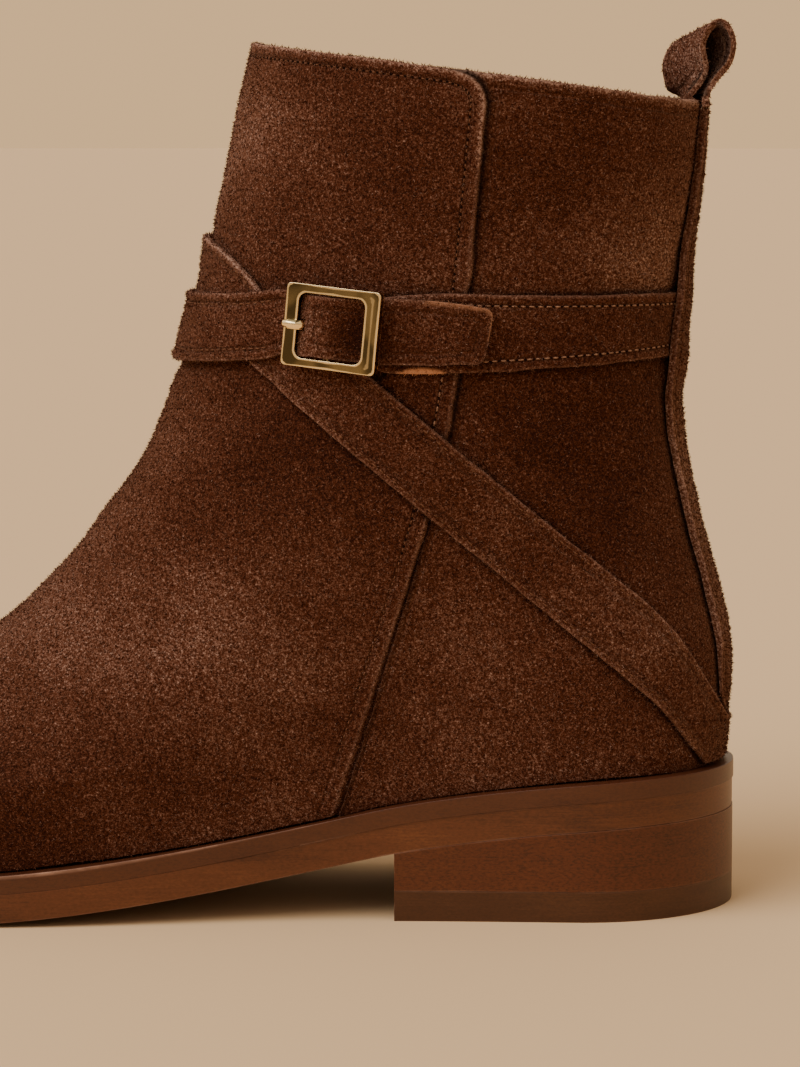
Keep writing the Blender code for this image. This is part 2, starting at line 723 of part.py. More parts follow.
def make_pull_loop():
    points = np.array(PULL_LOOP)
    steps = np.linalg.norm(np.diff(points, axis=0), axis=1)
    along = np.concatenate([[0.0], np.cumsum(steps)])
    forward, height = spline(along, points[:, 0]), spline(along, points[:, 1])
    rings = []
    for k in range(LOOP_RINGS + 1):
        at = along[-1] * k / LOOP_RINGS
        before, after = max(at - 0.05, 0.0), min(at + 0.05, along[-1])
        run = np.array([forward(after) - forward(before), height(after) - height(before)])
        run /= np.linalg.norm(run)
        out = np.array([run[1], 0.0, run[0]]) * LOOP_THICK / 2
        free = ease((height(at) - LOOP_TWIST_FROM) / LOOP_TWIST_REACH)
        twist, roll = math.radians(LOOP_TWIST) * free, math.radians(LOOP_ROLL) * free
        level = np.array([-math.sin(twist), math.cos(twist), 0.0])
        across = (level * math.cos(roll) - np.array([0.0, 0.0, math.sin(roll)])) * LOOP_WIDTH / 2
        turned = np.array([out[0] * math.cos(twist), out[0] * math.sin(twist), out[2]])
        centre = np.array([-forward(at), 0.0, height(at)])
        corners = (centre - across - turned, centre - across + turned, centre + across + turned)
        rings.append([*corners, centre + across - turned])
    new_object("pull_loop", loft("pull_loop", rings, closed=False), SUEDE, 0.95)


def buckle_axes():
    """Origin and axes of the buckle: along towards the heel, high towards the collar, and out."""
    rests = []
    for forward, height, lift in (FRAME_FRONT_REST, FRAME_REAR_REST):
        level, turn = place_at(forward, height)
        rests.append(skin(level, turn, lift))
    front, rear = rests
    along = (rear - front) / np.linalg.norm(rear - front)
    level, turn = place_at((FRAME_FRONT_REST[0] + FRAME_REAR_REST[0]) / 2, FRAME_MIDDLE)
    lean = outward(level, turn)
    lean -= along * np.dot(lean, along)
    out = lean / np.linalg.norm(lean)
    high = np.cross(out, along)
    return (front + rear) / 2, along, high, out


def rounded_corners(low, high, radius):
    """Points of a rectangle with rounded corners, from one corner round to the last."""
    points = []
    centres = ((high[0] - radius, high[1] - radius), (low[0] + radius, high[1] - radius))
    centres += ((low[0] + radius, low[1] + radius), (high[0] - radius, low[1] + radius))
    for quarter, (x, y) in enumerate(centres):
        for k in range(CORNER_STEPS + 1):
            angle = math.pi / 2 * (quarter + k / CORNER_STEPS)
            points.append((x + radius * math.cos(angle), y + radius * math.sin(angle)))
    return points


def combine(item, other, operation):
    """Joins another solid to an object, or cuts it out, and drops the other solid."""
    step = item.modifiers.new("combine", "BOOLEAN")
    step.operation = operation
    step.solver = "EXACT"
    step.object = other
    view = bpy.context.evaluated_depsgraph_get()
    mesh = bpy.data.meshes.new_from_object(item.evaluated_get(view))
    item.modifiers.clear()
    item.data = mesh
    bpy.data.objects.remove(other)


def make_buckle(ankle_strap):
    origin, along, high, out = buckle_axes()

    def place(a, h, o):
        return origin + along * a + high * h + out * o

    half_long, half_high = FRAME_LONG / 2, FRAME_HIGH / 2
    front_end, rear_end = FRAME_OFFSET - half_long, FRAME_OFFSET + half_long
    outer = rounded_corners((front_end, -half_high), (rear_end, half_high), FRAME_CORNER)
    inner_low = (front_end + FRAME_FRONT_BAR, -half_high + FRAME_SIDE_BAR)
    inner_high = (rear_end - FRAME_REAR_BAR, half_high - FRAME_SIDE_BAR)
    inner = rounded_corners(inner_low, inner_high, FRAME_INNER_CORNER)
    rings = []
    for (a, h), (b, g) in zip(outer, inner):
        rings.append([place(a, h, 0), place(a, h, FRAME_THICK), place(b, g, FRAME_THICK), place(b, g, 0)])
    frame = new_object("buckle_frame", loft("buckle_frame", rings, closed=True), GOLD, 0.2, 1.0)

    level, turn = place_at(*BAR_PLACE)
    bar_out = float(np.dot(skin(level, turn, BAR_LIFT) - origin, out))
    reach = half_high - FRAME_SIDE_BAR / 2
    rings = []
    for h in (-reach, reach):
        angles = [2 * math.pi * k / BAR_SIDES for k in range(BAR_SIDES)]
        rings.append(
            [place(BAR_RADIUS * math.cos(a), h, bar_out + BAR_RADIUS * math.sin(a)) for a in angles]
        )
    bar = new_object("buckle_bar", loft("buckle_bar", rings, closed=False), GOLD, 0.2, 1.0)
    combine(frame, bar, "UNION")

    rings = []
    for k, point in enumerate(PRONG):
        before, after = PRONG[max(k - 1, 0)], PRONG[min(k + 1, len(PRONG) - 1)]
        run = np.array([after.along - before.along, after.out - before.out])
        run /= np.linalg.norm(run)
        tip = PRONG_TIP if k == len(PRONG) - 1 else 1.0
        ring = []
        for corner in range(PRONG_SIDES):
            angle = 2 * math.pi / PRONG_SIDES * (corner + 0.5)
            across = PRONG_WIDTH / 2 * tip * math.cos(angle) / math.cos(math.pi / PRONG_SIDES)
            rise = PRONG_THICK / 2 * tip * math.sin(angle) / math.cos(math.pi / PRONG_SIDES)
            ring.append(place(point.along + run[1] * rise, across, point.out - run[0] * rise))
        rings.append(ring)
    new_object("buckle_prong", loft("buckle_prong", rings, closed=False), GOLD, 0.2, 1.0)

    front, rear, half = PRONG_SLOT
    corners = ((front, -half), (rear, -half), (rear, half), (front, half))
    rings = [[place(a, h, o) for a, h in corners] for o in SLOT_DEPTH]
    cutter = new_object("slot_cutter", loft("slot_cutter", rings, closed=False), SUEDE, 0.9)
    combine(ankle_strap, cutter, "DIFFERENCE")


def stand_on_floor():
    """Carries every piece on one empty, with the boot's box centred over the origin."""
    pieces = [item for item in bpy.context.scene.objects if item.type == "MESH"]
    corners = [vertex.co for item in pieces for vertex in item.data.vertices]
    low = [min(corner[axis] for corner in corners) for axis in range(3)]
    high = [max(corner[axis] for corner in corners) for axis in range(3)]
    boot = bpy.data.objects.new("boot", None)
    boot.location = (-(low[0] + high[0]) / 2, -(low[1] + high[1]) / 2, -low[2])
    bpy.context.scene.collection.objects.link(boot)
    for item in pieces:
        item.parent = boot


def main():
    for item in list(bpy.data.objects):
        bpy.data.objects.remove(item)
    new_object("upper", upper_mesh(), SUEDE, 0.95)
    make_sole()
    make_heel_strap()
    make_buckle_strap()
    make_back_strip()
    make_pull_loop()
    make_buckle(make_ankle_strap())
    stand_on_floor()


main()
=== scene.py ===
import json
import math
from collections import namedtuple

import bmesh
import bpy
import numpy as np
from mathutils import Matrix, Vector, noise
from mathutils.bvhtree import BVHTree
from mathutils.kdtree import KDTree

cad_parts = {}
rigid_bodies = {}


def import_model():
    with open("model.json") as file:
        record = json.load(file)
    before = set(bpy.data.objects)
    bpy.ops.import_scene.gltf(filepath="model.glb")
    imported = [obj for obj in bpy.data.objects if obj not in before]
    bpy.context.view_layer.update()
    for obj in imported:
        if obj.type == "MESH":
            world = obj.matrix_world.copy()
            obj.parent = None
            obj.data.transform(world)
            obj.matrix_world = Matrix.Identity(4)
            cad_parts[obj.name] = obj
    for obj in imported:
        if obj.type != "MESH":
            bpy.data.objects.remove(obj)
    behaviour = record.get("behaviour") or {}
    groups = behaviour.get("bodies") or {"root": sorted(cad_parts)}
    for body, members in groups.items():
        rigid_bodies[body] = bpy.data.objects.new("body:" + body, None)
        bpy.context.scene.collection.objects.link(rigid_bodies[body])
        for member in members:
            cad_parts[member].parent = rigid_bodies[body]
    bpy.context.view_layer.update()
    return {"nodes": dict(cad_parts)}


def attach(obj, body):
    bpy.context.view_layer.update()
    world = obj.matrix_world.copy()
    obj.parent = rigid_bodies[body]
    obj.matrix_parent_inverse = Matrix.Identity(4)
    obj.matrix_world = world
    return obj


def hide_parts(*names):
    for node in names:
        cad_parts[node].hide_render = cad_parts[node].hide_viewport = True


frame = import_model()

MM = 0.001


# Upper. One wall of brown suede, pulled over the last: the front panel overlaps the two quarters with a
# raw cut edge. It is the merged solid with its cut edges rounded, made finer, and given soft folds, the
# swell beside each tight strap, and quarters that lie flush beside the panel's lower edge. Its nap gets
# painted shade at the foot of the panel's edge and beside the straps, and spots of painted light and
# shade.
MERGE_GAP = 0.02 * MM
CUT_ANGLE = math.radians(38)
# Least cosine between a face's direction and another for the face to count as turned that way
TURNED = 0.5
SQUARELY_TURNED = 0.8


def work_on(piece):
    """Makes a piece the only one that is selected and active."""
    bpy.ops.object.select_all(action="DESELECT")
    piece.select_set(True)
    bpy.context.view_layer.objects.active = piece


def copy_of(node, name):
    """A new piece with the merged shape of one solid of the frame, in its place, with its folds marked."""
    piece = bpy.data.objects.new(name, frame["nodes"][node].data.copy())
    piece.data.materials.clear()
    bpy.context.collection.objects.link(piece)
    work_on(piece)
    bpy.ops.mesh.customdata_custom_splitnormals_clear()
    bpy.ops.object.mode_set(mode="EDIT")
    bpy.ops.mesh.select_all(action="SELECT")
    bpy.ops.mesh.remove_doubles(threshold=MERGE_GAP)
    bpy.ops.mesh.tris_convert_to_quads(face_threshold=math.pi, shape_threshold=math.pi)
    bpy.ops.mesh.mark_sharp(clear=True)
    bpy.ops.mesh.select_mode(type="EDGE")
    bpy.ops.mesh.select_all(action="DESELECT")
    bpy.ops.mesh.edges_select_sharp(sharpness=CUT_ANGLE)
    bpy.ops.mesh.mark_sharp()
    bpy.ops.mesh.select_mode(type="FACE")
    bpy.ops.object.mode_set(mode="OBJECT")
    return piece


def apply_modifier(piece, kind, **settings):
    """Adds one modifier to a piece and applies it."""
    work_on(piece)
    step = piece.modifiers.new(kind.lower(), kind)
    for name, value in settings.items():
        setattr(step, name, value)
    bpy.ops.object.modifier_apply(modifier=step.name)


def round_off(piece, width, levels):
    """Rounds the cut edges of a piece and smooths the rest."""
    apply_modifier(
        piece, "BEVEL", width=width, segments=2, limit_method="ANGLE",
        angle_limit=CUT_ANGLE, use_clamp_overlap=True,
    )
    apply_modifier(piece, "SUBSURF", levels=levels, render_levels=levels)
    work_on(piece)
    bpy.ops.object.mode_set(mode="EDIT")
    bpy.ops.mesh.select_all(action="SELECT")
    bpy.ops.mesh.mark_sharp(clear=True)
    bpy.ops.object.mode_set(mode="OBJECT")
    bpy.ops.object.shade_smooth()


def select_faces(piece, test):
    """Edit mode with the faces selected that pass a test."""
    work_on(piece)
    bpy.ops.object.mode_set(mode="EDIT")
    bpy.ops.mesh.select_mode(type="FACE")
    bpy.ops.mesh.select_all(action="DESELECT")
    bpy.ops.object.mode_set(mode="OBJECT")
    for face in piece.data.polygons:
        face.select = test(face)
    bpy.ops.object.mode_set(mode="EDIT")


def select_region(piece, near, facing):
    """Edit mode with one region between sharp edges selected: that of the face nearest a point."""
    faces = [face for face in piece.data.polygons if face.normal.dot(Vector(facing)) > TURNED]
    seed = min(faces, key=lambda face: (face.center - Vector(near)).length).index
    select_faces(piece, lambda face: face.index == seed)
    bpy.ops.mesh.select_linked(delimit={"SHARP"})


def cover_region(piece, near, facing, slot):
    """Gives one region between sharp edges the material of a slot."""
    select_region(piece, near, facing)
    bpy.ops.object.mode_set(mode="OBJECT")
    for face in piece.data.polygons:
        if face.select:
            face.material_index = slot


GAP_REACH = 6 * MM
EDGE_PARTS = 8
FAR_AWAY = (0, 0, 9)


def measure_gaps(piece, hidden=lambda edge: False):
    """Finds the cut edges of a piece before they are rounded, but for those that a test calls hidden.
    What it returns is called afterwards and keeps on each point how far it is from a cut edge (rim) and
    from the foot of a step (foot), in shares of GAP_REACH."""
    shape = bmesh.new()
    shape.from_mesh(piece.data)
    trees = {}
    for name, outer in (("rim", True), ("foot", False)):
        edges = [edge for edge in shape.edges
                 if not edge.smooth and edge.is_convex == outer and not hidden(edge)]
        spots = [edge.verts[0].co.lerp(edge.verts[1].co, step / EDGE_PARTS)
                 for edge in edges for step in range(EDGE_PARTS + 1)]
        trees[name] = KDTree(len(spots) + 1)
        trees[name].insert(FAR_AWAY, 0)
        for index, spot in enumerate(spots):
            trees[name].insert(spot, index + 1)
        trees[name].balance()
    shape.free()

    def keep():
        for name, tree in trees.items():
            layer = piece.data.attributes.new(name, "FLOAT", "POINT")
            gaps = [tree.find(vertex.co)[2] for vertex in piece.data.vertices]
            layer.data.foreach_set("value", np.minimum(np.array(gaps) / GAP_REACH, 1))

    return keep


def fine_noise(nodes, links, place, feature, detail, stretch=(1, 1, 1)):
    """Noise whose features have a given size in metres, stretched along the piece's own axes."""
    mapping = nodes.new("ShaderNodeMapping")
    mapping.inputs["Scale"].default_value = [1 / amount for amount in stretch]
    links.new(place, mapping.inputs["Vector"])
    texture = nodes.new("ShaderNodeTexNoise")
    texture.inputs["Scale"].default_value = 1 / feature
    texture.inputs["Detail"].default_value = detail
    texture.inputs["Roughness"].default_value = 0.6
    links.new(mapping.outputs["Vector"], texture.inputs["Vector"])
    return texture.outputs["Fac"]


def weighed(nodes, links, first, second, share):
    """first * (1 - share) + second * share."""
    mix = nodes.new("ShaderNodeMix")
    mix.inputs["Factor"].default_value = share
    links.new(first, mix.inputs["A"])
    links.new(second, mix.inputs["B"])
    return mix.outputs["Result"]


def colour_steps(nodes, links, value, steps):
    """Colour ramp through (position, colour) steps."""
    ramp = nodes.new("ShaderNodeValToRGB")
    ramp.color_ramp.interpolation = "EASE"
    while len(ramp.color_ramp.elements) < len(steps):
        ramp.color_ramp.elements.new(0.5)
    for element, (position, colour) in zip(ramp.color_ramp.elements, steps):
        element.position = position
        element.color = (*colour, 1)
    links.new(value, ramp.inputs["Fac"])
    return ramp.outputs["Color"]


def grey_steps(nodes, links, value, steps):
    """Grey ramp through (position, brightness) steps."""
    return colour_steps(nodes, links, value, [(position, (grey,) * 3) for position, grey in steps])


def blended(nodes, links, kind, factor, first, second):
    """Two colours mixed in one of the ways of the Mix node. A colour is a socket or three numbers."""
    mix = nodes.new("ShaderNodeMix")
    mix.data_type = "RGBA"
    mix.blend_type = kind
    for socket, value in ((mix.inputs[6], first), (mix.inputs[7], second)):
        if isinstance(value, tuple):
            socket.default_value = (*value, 1)
        else:
            links.new(value, socket)
    if isinstance(factor, float):
        mix.inputs[0].default_value = factor
    else:
        links.new(factor, mix.inputs[0])
    return mix.outputs[2]


def raised(nodes, links, height, strength, distance):
    """Bump node that raises a surface by a height socket."""
    bump = nodes.new("ShaderNodeBump")
    bump.inputs["Strength"].default_value = strength
    bump.inputs["Distance"].default_value = distance
    links.new(height, bump.inputs["Height"])
    return bump


def kept_value(nodes, name):
    """A number that is kept on the points of a piece."""
    reader = nodes.new("ShaderNodeAttribute")
    reader.attribute_name = name
    return reader.outputs["Fac"]


def new_material(name):
    """A material, its nodes and links, its shader and its object coordinates."""
    material = bpy.data.materials.new(name)
    material.use_nodes = True
    nodes, links = material.node_tree.nodes, material.node_tree.links
    place = nodes.new("ShaderNodeTexCoord").outputs["Object"]
    return material, nodes, links, nodes["Principled BSDF"], place


SUEDE_DEEP = (0.019, 0.0037, 0.0011)
SUEDE_BROWN = (0.059, 0.0155, 0.0056)
SUEDE_LIGHT = (0.132, 0.059, 0.039)
SUEDE_FLECK = (0.310, 0.195, 0.158)
SUEDE_RAW = (0.50, 0.245, 0.140)
SUEDE_PINK = (0.58, 0.330, 0.230)
# How far painted light and shade and brushing shift the nap's tone
LIGHT_AND_BRUSH_SHARE = 0.3


def nap_colours(nodes, links, tone, positions):
    """Colour of the nap by its tone, which is shifted to its pale or dark side by painted light and shade
    and by brushing, darkened by painted shade at the foot of a step, beside laid bands and inside the
    loop, and raw where the flesh side is bare."""
    tone = weighed(nodes, links, tone, kept_value(nodes, "brushing_and_painted_light"), LIGHT_AND_BRUSH_SHARE)
    shifted = [position * (1 - LIGHT_AND_BRUSH_SHARE) + LIGHT_AND_BRUSH_SHARE / 2 for position in positions]
    tints = (SUEDE_DEEP, SUEDE_BROWN, SUEDE_LIGHT, SUEDE_FLECK)
    colour = colour_steps(nodes, links, tone, list(zip(shifted, tints)))
    # Painted shade: the nap darkens where the kept foot gap is small, at the foot of a step, beside laid
    # bands and inside the loop
    shade = grey_steps(nodes, links, kept_value(nodes, "foot"), [(0.0, 0.12), (0.06, 0.3), (0.22, 1.0)])
    colour = blended(nodes, links, "MULTIPLY", 1.0, colour, shade)
    return blended(nodes, links, "MIX", kept_value(nodes, "bare"), colour, SUEDE_RAW)


def suede(name, row):
    """Skin of the suede under its nap: brushed patches and tufts, paler where an edge has wear, and
    pressed in along a row at a given distance from the edge. Its tone takes painted light and shade from
    nap_colours."""
    material, nodes, links, shader, place = new_material(name)
    row /= GAP_REACH
    patches = fine_noise(nodes, links, place, 24 * MM, 3, (1, 1, 0.7))
    tufts = fine_noise(nodes, links, place, 0.6 * MM, 3)
    fibres = fine_noise(nodes, links, place, 0.32 * MM, 1)
    nap = weighed(nodes, links, tufts, fibres, 0.5)
    tone = weighed(nodes, links, nap, patches, 0.15)
    colour = nap_colours(nodes, links, tone, (0.38, 0.49, 0.59, 0.68))
    rim = kept_value(nodes, "rim")
    pale_rim = grey_steps(nodes, links, rim, [(0.0, 0.3), (0.05, 0.2), (0.11, 0.0)])
    pale_rim = blended(nodes, links, "MULTIPLY", 1.0, pale_rim, nap)
    colour = blended(nodes, links, "MIX", pale_rim, colour, SUEDE_FLECK)
    links.new(colour, shader.inputs["Base Color"])
    pressed = grey_steps(nodes, links, rim, [
        (0.0, 0.85), (row - 0.16, 1.0), (row, 0.0), (row + 0.10, 0.75), (row + 0.2, 0.8)])
    sewn = raised(nodes, links, pressed, 1.0, 0.55 * MM)
    bump = raised(nodes, links, nap, 0.9, 0.45 * MM)
    links.new(sewn.outputs["Normal"], bump.inputs["Normal"])
    links.new(bump.outputs["Normal"], shader.inputs["Normal"])
    shader.inputs["Roughness"].default_value = 0.95
    shader.inputs["Specular IOR Level"].default_value = 0.12
    shader.inputs["Sheen Weight"].default_value = 0.18
    shader.inputs["Sheen Roughness"].default_value = 0.45
    shader.inputs["Sheen Tint"].default_value = (0.75, 0.40, 0.25, 1)
    return material


def raw_edge():
    """Cut edge and flesh side of the suede: paler, matt and fibrous."""
    material, nodes, links, shader, place = new_material("raw_edge")
    fibres = fine_noise(nodes, links, place, 0.5 * MM, 3)
    patches = fine_noise(nodes, links, place, 7 * MM, 2)
    tone = weighed(nodes, links, fibres, patches, 0.5)
    colour = colour_steps(nodes, links, tone, [(0.34, SUEDE_LIGHT), (0.5, SUEDE_RAW), (0.68, SUEDE_PINK)])
    links.new(colour, shader.inputs["Base Color"])
    bump = raised(nodes, links, fibres, 0.8, 0.3 * MM)
    links.new(bump.outputs["Normal"], shader.inputs["Normal"])
    shader.inputs["Roughness"].default_value = 0.95
    shader.inputs["Specular IOR Level"].default_value = 0.12
    return material


OUTER_SIDE = (0, -1, 0)
INNER_SIDE = (0, 1, 0)
PANEL_SPOT = (0.02, -0.05, 0.085)
QUARTER_SPOT = (0.10, -0.04, 0.085)
LINING_SPOT = (0.08, -0.031, 0.14)
PANEL, QUARTER, FLESH = 0, 1, 2
PANEL_ROW_IN = 2.7 * MM
PANEL_CORNER = 0.22 * MM


def lasted_edge(edge):
    """Test for the wall's lower edge, which the welt hides."""
    return any(face.normal.z < -SQUARELY_TURNED for face in edge.link_faces)


upper = copy_of("upper", "suede_upper")
raw = raw_edge()
for finish in (suede("panel_suede", PANEL_ROW_IN), suede("quarter_suede", PANEL_ROW_IN), raw):
    upper.data.materials.append(finish)
cover_region(upper, QUARTER_SPOT, OUTER_SIDE, QUARTER)
cover_region(upper, LINING_SPOT, INNER_SIDE, FLESH)
keep_gaps = measure_gaps(upper, lasted_edge)
round_off(upper, PANEL_CORNER, 2)
keep_gaps()

# Soft troughs, each with a low ridge on both sides, given by its ends in the side view in millimetres
Fold = namedtuple("Fold", "x_from z_from x_to z_to depth half_width")
FOLDS = [
    Fold(30.0, 104.0, 6.0, 90.0, 0.55, 4.5),
    Fold(44.0, 92.0, 2.0, 74.0, 0.45, 5.0),
    Fold(30.0, 76.0, -16.0, 62.0, 0.42, 6.0),
    Fold(16.0, 58.0, -34.0, 48.0, 0.40, 6.0),
    Fold(84.0, 98.0, 104.0, 92.0, 0.30, 4.0),
    Fold(78.0, 108.0, 106.0, 104.0, 0.32, 3.6),
]
# A fold's ridges and the way it runs out past its ends, in shares of its depth and half width
RIDGE_SHARE = 0.45
RIDGE_PLACE = 1.9
END_FADE = 2
# Broad waves, the swell beside the straps and the rise of the quarters to the panel, in millimetres
WAVE = 0.4
WAVE_SIZE = 30
SWELL = 0.5
SWELL_FROM = 0.6
SWELL_REACH = 3.2
FLUSH = 1.0
FLUSH_REACH = 3.5
FLUSH_LOW, FLUSH_HIGH = 60, 92
# Least gap that the painted shade at the panel's foot reads where a quarter lies flush, as a share of
# GAP_REACH
FLUSH_SHADE = 0.16
LAID_BANDS = ("heel_strap", "ankle_strap", "buckle_strap", "back_strip")


def fold_depth(side):
    """How far the folds push points of the side view in, in millimetres."""
    total = np.zeros(len(side))
    for fold in FOLDS:
        start = np.array((fold.x_from, fold.z_from))
        run = np.array((fold.x_to, fold.z_to)) - start
        length = np.hypot(*run)
        share = (side - start) @ run / length**2
        across = np.hypot(*(side - start - np.outer(share, run)).T) / fold.half_width
        past = np.maximum(np.maximum(-share, share - 1), 0) * length / (END_FADE * fold.half_width)
        trough = np.exp(-(across**2)) - RIDGE_SHARE * np.exp(-((across - RIDGE_PLACE) ** 2))
        total += fold.depth * trough * np.exp(-(past**2))
    return total


def skin_of(mesh):
    """Search tree over the faces of a mesh."""
    places = [vertex.co for vertex in mesh.vertices]
    return BVHTree.FromPolygons(places, [face.vertices for face in mesh.polygons])


def strap_gaps(places):
    """How far points are from the nearest band that is laid over the upper, in millimetres."""
    skins = [skin_of(frame["nodes"][node].data) for node in LAID_BANDS]
    return np.array([min(skin.find_nearest(place)[3] for skin in skins) for place in places]) / MM


# Spots of painted light (above 0) and painted shade (below 0) on the nap, in part also its brushing, in
# millimetres
LightAndBrushSpot = namedtuple("LightAndBrushSpot", "x z reach amount")
UPPER_SPOTS = [
    LightAndBrushSpot(30, 158, 14, 0.35),
    LightAndBrushSpot(56, 150, 22, -0.1),
    LightAndBrushSpot(116, 136, 14, 0.45),
    LightAndBrushSpot(104, 96, 20, -0.35),
    LightAndBrushSpot(50, 102, 18, -0.33),
    LightAndBrushSpot(34, 58, 16, 0.25),
    LightAndBrushSpot(-6, 56, 20, 0.24),
    LightAndBrushSpot(30, 89, 12, -0.16),
    LightAndBrushSpot(98, 148, 14, -0.15),
    LightAndBrushSpot(82, 46, 18, 0.06),
    LightAndBrushSpot(-8, 22, 22, -0.25),
]
# How much paler the nap is along a cut edge and a worn one, and how far in, as a share of GAP_REACH
EDGE_PALER = 0.16
WORN_PALER = 0.5
EDGE_SHARE = 0.16
# Height above which the collar's edge is worn, in millimetres
COLLAR_LOW = 155


def kept_on(piece, name):
    """The values that are kept under a name on the points of a piece."""
    values = np.empty(len(piece.data.vertices))
    piece.data.attributes[name].data.foreach_get("value", values)
    return values


def paint_light_and_brushing(piece, spots, worn_above):
    """Keeps on each point of a piece how pale its nap is made, with 0.5 as even: spots of painted light
    and shade, in part also its brushing. It stands up and is paler along cut edges, and more so along
    edges with wear above a height in millimetres."""
    places = np.array([vertex.co for vertex in piece.data.vertices]) / MM
    paler = EDGE_PALER + WORN_PALER * (places[:, 2] > worn_above)
    total = paler * np.exp(-((kept_on(piece, "rim") / EDGE_SHARE) ** 2))
    for spot in spots:
        gaps = np.hypot(places[:, 0] - spot.x, places[:, 2] - spot.z)
        total += spot.amount * np.exp(-((gaps / spot.reach) ** 2))
    layer = piece.data.attributes.new("brushing_and_painted_light", "FLOAT", "POINT")
    layer.data.foreach_set("value", 0.5 + 0.5 * np.clip(total, -1, 1))


WANDER = 0.2 * MM
WANDER_SIZE = 5 * MM
WANDER_SEED = 5
noise.seed_set(WANDER_SEED)


def uneven_cut(piece):
    """Lets the cut edges of a piece wander a little in the side view, as a knife does."""
    for vertex in piece.data.vertices:
        wander = noise.noise_vector(vertex.co / WANDER_SIZE) * WANDER
        vertex.co += Vector((wander.x, 0, wander.z))


def points_of(piece, slot):
    """Tells for each point of a piece whether it is on a face of one material slot."""
    faces = [face for face in piece.data.polygons if face.material_index == slot]
    chosen = {point for face in faces for point in face.vertices}
    return np.isin(np.arange(len(piece.data.vertices)), list(chosen))


uneven_cut(upper)
places = np.empty((len(upper.data.vertices), 3))
upper.data.vertices.foreach_get("co", places.ravel())
outwards = np.empty_like(places)
upper.data.vertices.foreach_get("normal", outwards.ravel())
napped = points_of(upper, PANEL) | points_of(upper, QUARTER)
gaps = strap_gaps(places)
wave = np.array([WAVE * noise.noise(place) for place in places / (WAVE_SIZE * MM)])
beside = np.maximum(gaps - SWELL_FROM, 0) / SWELL_REACH
swell = SWELL * beside * np.exp(1 - beside)
foot = kept_on(upper, "foot")
low = np.clip((FLUSH_HIGH - places[:, 2] / MM) / (FLUSH_HIGH - FLUSH_LOW), 0, 1)
flush = FLUSH * low * points_of(upper, QUARTER) * np.exp(-((foot * GAP_REACH / MM / FLUSH_REACH) ** 2))
# Painted shade beside the laid bands: the foot gap kept for the nap's shade becomes the gap to the nearest
# band where that is smaller
shaded = np.minimum(np.maximum(foot, FLUSH_SHADE * low), gaps * MM / GAP_REACH)
upper.data.attributes["foot"].data.foreach_set("value", shaded)
lift = (wave + swell + flush - fold_depth(places[:, (0, 2)] / MM)) * MM * napped
upper.data.vertices.foreach_set("co", (places + outwards * lift[:, None]).ravel())
upper.data.update()
paint_light_and_brushing(upper, UPPER_SPOTS, COLLAR_LOW)
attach(upper, "root")
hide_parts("upper")


# Nap. The short fibres that buffing raises on suede, which catch the light one by one and blur the
# boot's outline. One fibre is a thin closed spike; it is scattered over a napped face by geometry
# nodes, each one leaning its own way, and the spikes are then made one mesh.
NAP_DENSITY = 2.1e6
FIBRE_LONG = 0.68 * MM
FIBRE_THICK = 0.103 * MM
FIBRE_SIDES = 3
SIZE_LEAST, SIZE_MOST = 0.6, 1.3
LEAN_LEAST, LEAN_MOST = 0.45, 1.25
PLACE_SEED = 7
TONE_SEED = 3


